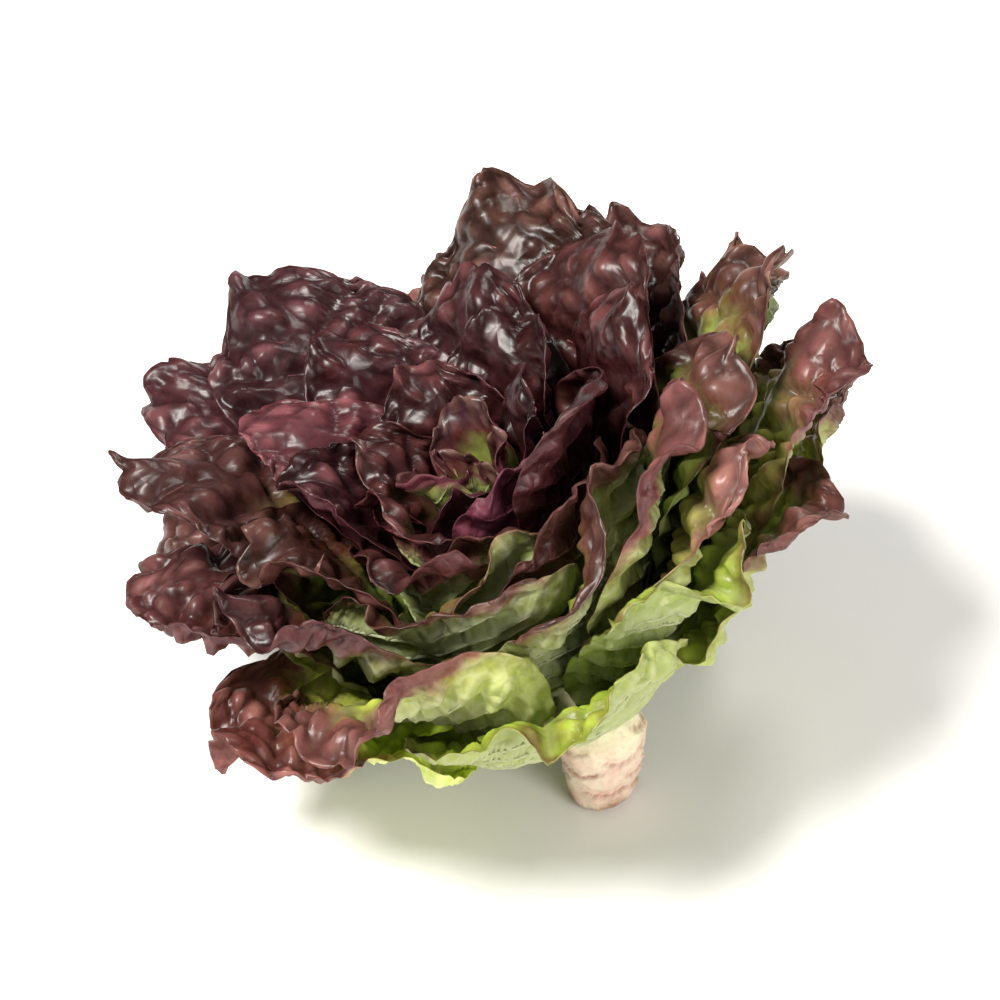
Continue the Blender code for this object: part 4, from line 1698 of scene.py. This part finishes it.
@dataclass(frozen=True)
class StemFinish:
    """Colours of the stem."""

    flesh: Colour = (0.86, 0.72, 0.56)
    blush: Colour = (0.74, 0.42, 0.34)
    fresh: Colour = (0.62, 0.68, 0.34)
    scar: Colour = (0.36, 0.13, 0.085)
    cut: Colour = (0.30, 0.13, 0.06)
    roughness: float = 0.42
    patch_scale: float = 130.0
    mottle_scale: float = 600.0
    noise_detail: float = 4.0
    blush_stops: tuple[float, float] = (0.42, 0.66)
    blush_shown: float = 0.55
    scar_shown: float = 0.85
    cut_mottle: float = 0.9
    bump_strength: float = 0.5
    bump_height: float = 0.0006

    def material(self) -> bpy.types.Material:
        """Builds the stem's material.

        Returns:
            A material that reads the stem's own attributes.
        """
        graph = Graph("lettuce_stem")
        patches = graph.noise(self.patch_scale, self.noise_detail)
        mottle = graph.noise(self.mottle_scale, self.noise_detail)
        blush = graph.ramp(patches, self.blush_stops, (BLACK, WHITE))
        colour = graph.mix(graph.times(blush, self.blush_shown), self.flesh, self.blush)
        colour = graph.mix(graph.attribute("fresh"), colour, self.fresh)
        scarred = graph.times(graph.attribute("scar"), self.scar_shown)
        colour = graph.mix(scarred, colour, self.scar)
        browned = graph.add(graph.attribute("cut"), graph.centred(mottle, self.cut_mottle))
        colour = graph.mix(browned, colour, self.cut)
        shader = graph.shader("ShaderNodeBsdfPrincipled", colour)
        graph.link(self.roughness, shader.inputs["Roughness"])
        graph.bump(mottle, shader, self.bump_strength, self.bump_height)
        return graph.finished(shader.outputs["BSDF"])


@dataclass(frozen=True)
class LettuceStem:
    """The stem: a stump with leaf scars and a browned cut end, and the taper inside the head."""

    form: StemForm = StemForm()
    finish: StemFinish = StemFinish()
    sides: int = 96
    side_rings: int = 100
    cap_rings: int = 12
    edge_round: float = 0.0032
    scars: int = 15
    first_scar: float = 0.0045
    scar_rise: float = 0.0019
    scar_half_width: float = 0.0115
    scar_curl: float = 0.0040
    scar_height: float = 0.0008
    scar_width: float = 0.0006
    scar_step: float = 0.0009
    scar_turn: float = 14.0
    scar_slant: float = 0.12
    edge_share: float = 0.7
    row_power: float = 1.35
    bend_run: float = 0.016
    cut_brown: float = 0.9
    seed: int = 77

    def relief(self, turn: np.ndarray, height: float) -> tuple[np.ndarray, np.ndarray]:
        """Leaf scars on one ring of the stem.

        Args:
            turn: angles round the stem.
            height: how high the ring is.

        Returns:
            How far the surface stands out, and how much of it is scar.
        """
        draw = np.random.default_rng(self.seed)
        out = 0.0006 * np.sin(3.0 * turn + 1.0 + 60.0 * height)
        out = out + 0.0002 * np.sin(11.0 * turn + 300.0 * height)
        shown = np.zeros_like(turn)
        for k in range(self.scars):
            middle = math.radians(GOLDEN_ANGLE * k + draw.uniform(-self.scar_turn, self.scar_turn))
            run = (turn - middle + math.pi) % (math.tau) - math.pi
            run = run * self.form.radius(height)
            half = self.scar_half_width * draw.uniform(0.75, 1.15)
            share = np.clip(1.0 - np.abs(run) / half, 0.0, 1.0)
            line = self.first_scar + self.scar_rise * k + draw.uniform(-0.0008, 0.0008)
            slant = self.scar_slant * draw.uniform(-1.0, 1.0) * run
            line = line + self.scar_curl * (run / half) ** 2 + slant
            line = line + 0.00035 * np.sin(run * 1900.0 + k)
            ridge = bell(height - line, self.scar_width) * smooth(share * 2.2)
            bed = smooth((height - line) / 0.0006) * smooth((line + 0.0050 - height) / 0.0030)
            out = out + ridge * self.scar_height - bed * smooth(share * 2.0) * self.scar_step
            edge = bell(height - line - 0.0007, 0.0005) * smooth(share * 2.2)
            shown = np.maximum(shown, edge * draw.uniform(0.45, 1.0))
        return out, shown

    def cut_ring(self, turn: np.ndarray, share: float) -> tuple[np.ndarray, ...]:
        """One ring of the cut end.

        Args:
            turn: angles round the stem.
            share: how far out the ring is.

        Returns:
            Its points, and how scarred, how green and how browned they are.
        """
        radius = share * (self.form.foot_radius - self.edge_round * self.edge_share)
        height = 0.0003 + 0.00025 * np.sin(7.0 * turn + 5.0 * share) * share
        points = np.stack((np.cos(turn) * radius, np.sin(turn) * radius, height), axis=1)
        plain = np.zeros(self.sides)
        return points, plain, plain, plain + self.cut_brown

    def side_ring(self, turn: np.ndarray, height: float) -> tuple[np.ndarray, ...]:
        """One ring of the stem's side.

        Args:
            turn: angles round the stem.
            height: length along the stem from its cut end.

        Returns:
            Its points, and how scarred, how green and how browned they are.
        """
        form = self.form
        lean = float(smooth((height - form.stump_height + form.bend_half) / self.bend_run))
        normal = unit(UP * (1.0 - lean) + AXIS * lean)
        side = unit(np.array((1.0, 0.0, 0.0)) - normal[0] * normal)
        back = np.cross(normal, side)
        out, shown = self.relief(turn, height)
        in_stump = float(height < form.stump_height + 0.004)
        rounding = max(1.0 - height / self.edge_round, 0.0) ** 2 * self.edge_round
        radius = form.radius(height) - rounding * self.edge_share
        radius = radius + out * in_stump * smooth(height / 0.002)
        points = (
            form.spine(height)
            + side * (np.cos(turn) * radius)[:, None]
            + back * (np.sin(turn) * radius)[:, None]
        )
        fresh = np.full(self.sides, float(smooth((height - 0.022) / 0.02)) * 0.8)
        low = smooth((0.0075 - height + 0.002 * np.sin(4.0 * turn)) / 0.007)
        return points, shown * in_stump, fresh, low * 0.75

    def build(self, shift: np.ndarray) -> bpy.types.Object:
        """Builds the stem in its solid's place.

        Args:
            shift: from the stump's foot to the model's origin.

        Returns:
            The finished stem.
        """
        total = self.form.stump_height + self.form.above_stump
        heights = total * np.linspace(0.0, 1.0, self.side_rings) ** self.row_power
        turn = np.arange(self.sides) * math.tau / self.sides
        shares = (np.arange(self.cap_rings) + 0.15) / self.cap_rings
        rings = [self.cut_ring(turn, share) for share in shares]
        rings += [self.side_ring(turn, height) for height in heights]
        points, scar, fresh, cut = map(np.concatenate, zip(*rings))
        around = np.arange(self.sides)
        first = np.arange(len(rings) - 1)[:, None] * self.sides
        a, b = (first + around).ravel(), (first + (around + 1) % self.sides).ravel()
        quads = np.stack((a, b, b + self.sides, a + self.sides), axis=1).tolist()
        caps = [around[::-1].tolist(), (around + (len(rings) - 1) * self.sides).tolist()]
        values = {"scar": scar, "fresh": fresh, "cut": cut}
        mesh = make_mesh("stump_and_stem", points + shift, [], quads + caps, values)
        mesh.materials.append(self.finish.material())
        piece = add_object("stump_and_stem", mesh)
        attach(piece, "root")
        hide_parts("stem")
        LOG.info("%s: %d faces", piece.name, len(mesh.polygons))
        return piece


@dataclass(frozen=True)
class Studio:
    """The pale floor, the soft lights and the camera."""

    aim: tuple[float, float, float] = (-0.0347, 0.020, 0.1150)
    elevation: float = 40.0
    distance: float = 1.0
    lens: float = 109.1
    floor_size: float = 12.0
    floor_grey: float = 0.90
    sky: float = 0.32
    mirrored_sky: float = 0.07
    warmth: Colour = (1.0, 0.965, 0.91)
    sensor: float = 36.0
    floor_roughness: float = 0.9
    floor_gloss: float = 0.1
    lit_point: tuple[float, float, float] = (0.0, 0.0, 0.09)
    lights: tuple[tuple[str, Colour, float, float], ...] = (
        ("key", (-0.7, -0.30, 1.3), 0.36, 5.0),
        ("fill", (0.9, -1.1, 0.7), 0.55, 1.9),
        ("top", (0.3, 0.9, 1.2), 0.26, 0.9),
    )

    def light(self, name: str, place: Colour, spread: float, power: float) -> None:
        """Adds a soft light that falls alike on all of the floor.

        Args:
            name: the light's name.
            place: where it comes from.
            spread: how wide it is seen, in radians.
            power: its watts to the square metre.
        """
        lamp = bpy.data.lights.new(name, "SUN")
        lamp.angle = spread
        lamp.energy = power
        lamp.color = self.warmth
        thing = add_object(name, lamp)
        thing.location = place
        aim = Vector(self.lit_point) - Vector(place)
        thing.rotation_euler = aim.to_track_quat("-Z", "Y").to_euler()

    def build(self, foot: np.ndarray) -> None:
        """Builds the floor, the sky, the lights and the camera.

        Args:
            foot: the middle of the stump's cut end.
        """
        half = self.floor_size / 2.0
        mesh = bpy.data.meshes.new("floor")
        corners = [(-half, -half, 0.0), (half, -half, 0.0), (half, half, 0.0), (-half, half, 0.0)]
        mesh.from_pydata(corners, [], [(0, 1, 2, 3)])
        material = bpy.data.materials.new("floor_paper")
        material.use_nodes = True
        shader = material.node_tree.nodes["Principled BSDF"]
        shader.inputs["Base Color"].default_value = (self.floor_grey,) * 3 + (1.0,)
        shader.inputs["Roughness"].default_value = self.floor_roughness
        shader.inputs["Specular IOR Level"].default_value = self.floor_gloss
        mesh.materials.append(material)
        floor = add_object("floor", mesh)
        world = bpy.data.worlds.new("sky")
        world.use_nodes = True
        nodes, links = world.node_tree.nodes, world.node_tree.links
        sky = nodes["Background"]
        sky.inputs["Color"].default_value = (*WHITE, 1.0)
        paths, dim = nodes.new("ShaderNodeLightPath"), nodes.new("ShaderNodeMapRange")
        links.new(paths.outputs["Is Glossy Ray"], dim.inputs["Value"])
        dim.inputs["To Min"].default_value = self.sky
        dim.inputs["To Max"].default_value = self.mirrored_sky
        links.new(dim.outputs["Result"], sky.inputs["Strength"])
        scene = bpy.context.scene
        scene.world = world
        scene.view_settings.view_transform = "Standard"
        for light in self.lights:
            self.light(*light)
        camera = bpy.data.cameras.new("camera")
        camera.lens = self.lens
        camera.sensor_width = self.sensor
        seat = add_object("camera", camera)
        tilt = math.radians(self.elevation)
        back = Vector((0.0, -math.cos(tilt), math.sin(tilt)))
        seat.location = Vector(foot) + Vector(self.aim) + back * self.distance
        seat.rotation_euler = (-back).to_track_quat("-Z", "Y").to_euler()
        scene.camera = seat


# A column for each ring, in the rings' order
FINISH_ROWS = {
    "green": (
        (0.348, 0.479, 0.046), (0.281, 0.36, 0.0405), (0.24, 0.32, 0.042),
        (0.24, 0.304, 0.0368), (0.33, 0.40, 0.060),
    ),
    "olive": (
        (0.17, 0.145, 0.0255), (0.136, 0.102, 0.0221), (0.119, 0.085, 0.0204),
        (0.102, 0.0748, 0.0177), (0.20, 0.17, 0.040),
    ),
    "russet": (
        (0.0954, 0.0265, 0.011), (0.0761, 0.0191, 0.0088), (0.0613, 0.0133, 0.00736),
        (0.0599, 0.00774, 0.00824), (0.113, 0.0202, 0.0202),
    ),
    "burgundy": (
        (0.0346, 0.0064, 0.00352), (0.0259, 0.00499, 0.00294), (0.0187, 0.00358, 0.0023),
        (0.0184, 0.0024, 0.00256), (0.0386, 0.00343, 0.00749),
    ),
    "under_green": (
        (0.517, 0.648, 0.122), (0.348, 0.416, 0.0772), (0.273, 0.329, 0.0676),
        (0.36, 0.44, 0.10), (0.50, 0.60, 0.12),
    ),
    "under_olive": (
        (0.353, 0.38, 0.0574), (0.227, 0.223, 0.0351), (0.168, 0.14, 0.0286),
        (0.24, 0.18, 0.055), (0.38, 0.38, 0.090),
    ),
    "under_mauve": (
        (0.239, 0.0966, 0.0547), (0.23, 0.092, 0.0563), (0.212, 0.0736, 0.0516),
        (0.193, 0.0534, 0.0469), (0.239, 0.0644, 0.0704),
    ),
    "under_wine": (
        (0.107, 0.031, 0.0234), (0.0999, 0.0289, 0.0234), (0.0859, 0.0206, 0.0199),
        (0.0826, 0.0138, 0.0187), (0.124, 0.0179, 0.0321),
    ),
    "vein_green": (
        (0.80, 0.84, 0.52), (0.78, 0.82, 0.52), (0.62, 0.70, 0.34),
        (0.56, 0.64, 0.28), (0.62, 0.70, 0.30),
    ),
    "vein_pink": (
        (0.34, 0.15, 0.11), (0.32, 0.14, 0.11), (0.28, 0.10, 0.09),
        (0.28, 0.08, 0.10), (0.34, 0.10, 0.14),
    ),
    "edge": (
        (0.331, 0.149, 0.105), (0.317, 0.136, 0.105), (0.288, 0.105, 0.0868),
        (0.302, 0.0992, 0.0992), (0.346, 0.149, 0.136),
    ),
    # The painted sheen colour: pale mauve put on blister tops and faded leaves in place of
    # reflection
    "painted_sheen": (
        (0.25, 0.120, 0.096), (0.24, 0.112, 0.094), (0.215, 0.088, 0.080),
        (0.195, 0.064, 0.066), (0.34, 0.22, 0.16),
    ),
    "upper_roughness": (0.34, 0.35, 0.35, 0.34, 0.34),
    "lower_roughness": (0.46, 0.44, 0.42, 0.40, 0.40),
    "glow": (0.17, 0.16, 0.14, 0.15, 0.17),
}
FINISHES = {
    ring: LeafFinish(**{word: row[place] for word, row in FINISH_ROWS.items()})
    for place, ring in enumerate(Ring)
}


@dataclass(frozen=True)
class LettuceHead:
    """The whole head: its stem and all its leaves."""

    plan: HeadPlan = HeadPlan()
    packing: Packing = Packing()
    stem: LettuceStem = LettuceStem()

    def shift(self, shells: list[np.ndarray]) -> np.ndarray:
        """The way from the stump's foot to the model's origin, as the solids take it.

        Args:
            shells: the points of the coarse leaves.

        Returns:
            What is added to every point.
        """
        points = np.concatenate(shells)
        middle = -(points.min(axis=0) + points.max(axis=0)) / 2.0
        return np.array((middle[0], middle[1], 0.0))

    def compare(self, leaves: list[Leaf], shells: list[np.ndarray]) -> None:
        """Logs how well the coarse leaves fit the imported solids' boxes.

        Args:
            leaves: the leaves.
            shells: their points in the model's frame.
        """
        boxes = [np.array(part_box(leaf.name)) for leaf in leaves]
        grown = [np.array((shell.min(axis=0), shell.max(axis=0))) for shell in shells]
        worst = np.abs(np.array(boxes) - np.array(grown)).max()
        LOG.info("coarse leaves differ from their solids by at most %.3f mm", worst / MM)

    def build(self) -> np.ndarray:
        """Builds the stem and every leaf.

        Returns:
            The middle of the stump's cut end, in the model's frame.
        """
        leaves = self.plan.leaves()
        cages = self.packing.bend_clear(leaves)
        blades = self.packing.blades
        shells = [blades.shell(leaf, cage, 0.0) for leaf, cage in zip(leaves, cages)]
        shift = self.shift(shells)
        self.compare(leaves, [shell + shift for shell in shells])
        self.stem.build(shift)
        crowd = Crowd(shells, leaves)
        ribs = RibTree()
        finishes = {ring: FINISHES[ring].material(f"oak_leaf_{ring.value}") for ring in Ring}
        total = 0
        for number, (leaf, cage) in enumerate(zip(leaves, cages)):
            grown = LettuceLeaf(leaf, number, cage, blades, shift)
            piece = grown.build(grown.room(crowd), ribs, finishes[leaf.ring])
            total += len(piece.data.polygons)
        LOG.info("leaves: %d pieces, %d faces", len(leaves), total)
        return shift


def main() -> None:
    """Builds the head and the studio."""
    logging.basicConfig(level=logging.INFO, format="%(message)s")
    foot = LettuceHead().build()
    Studio().build(foot)


if __name__ == "__main__":
    main()
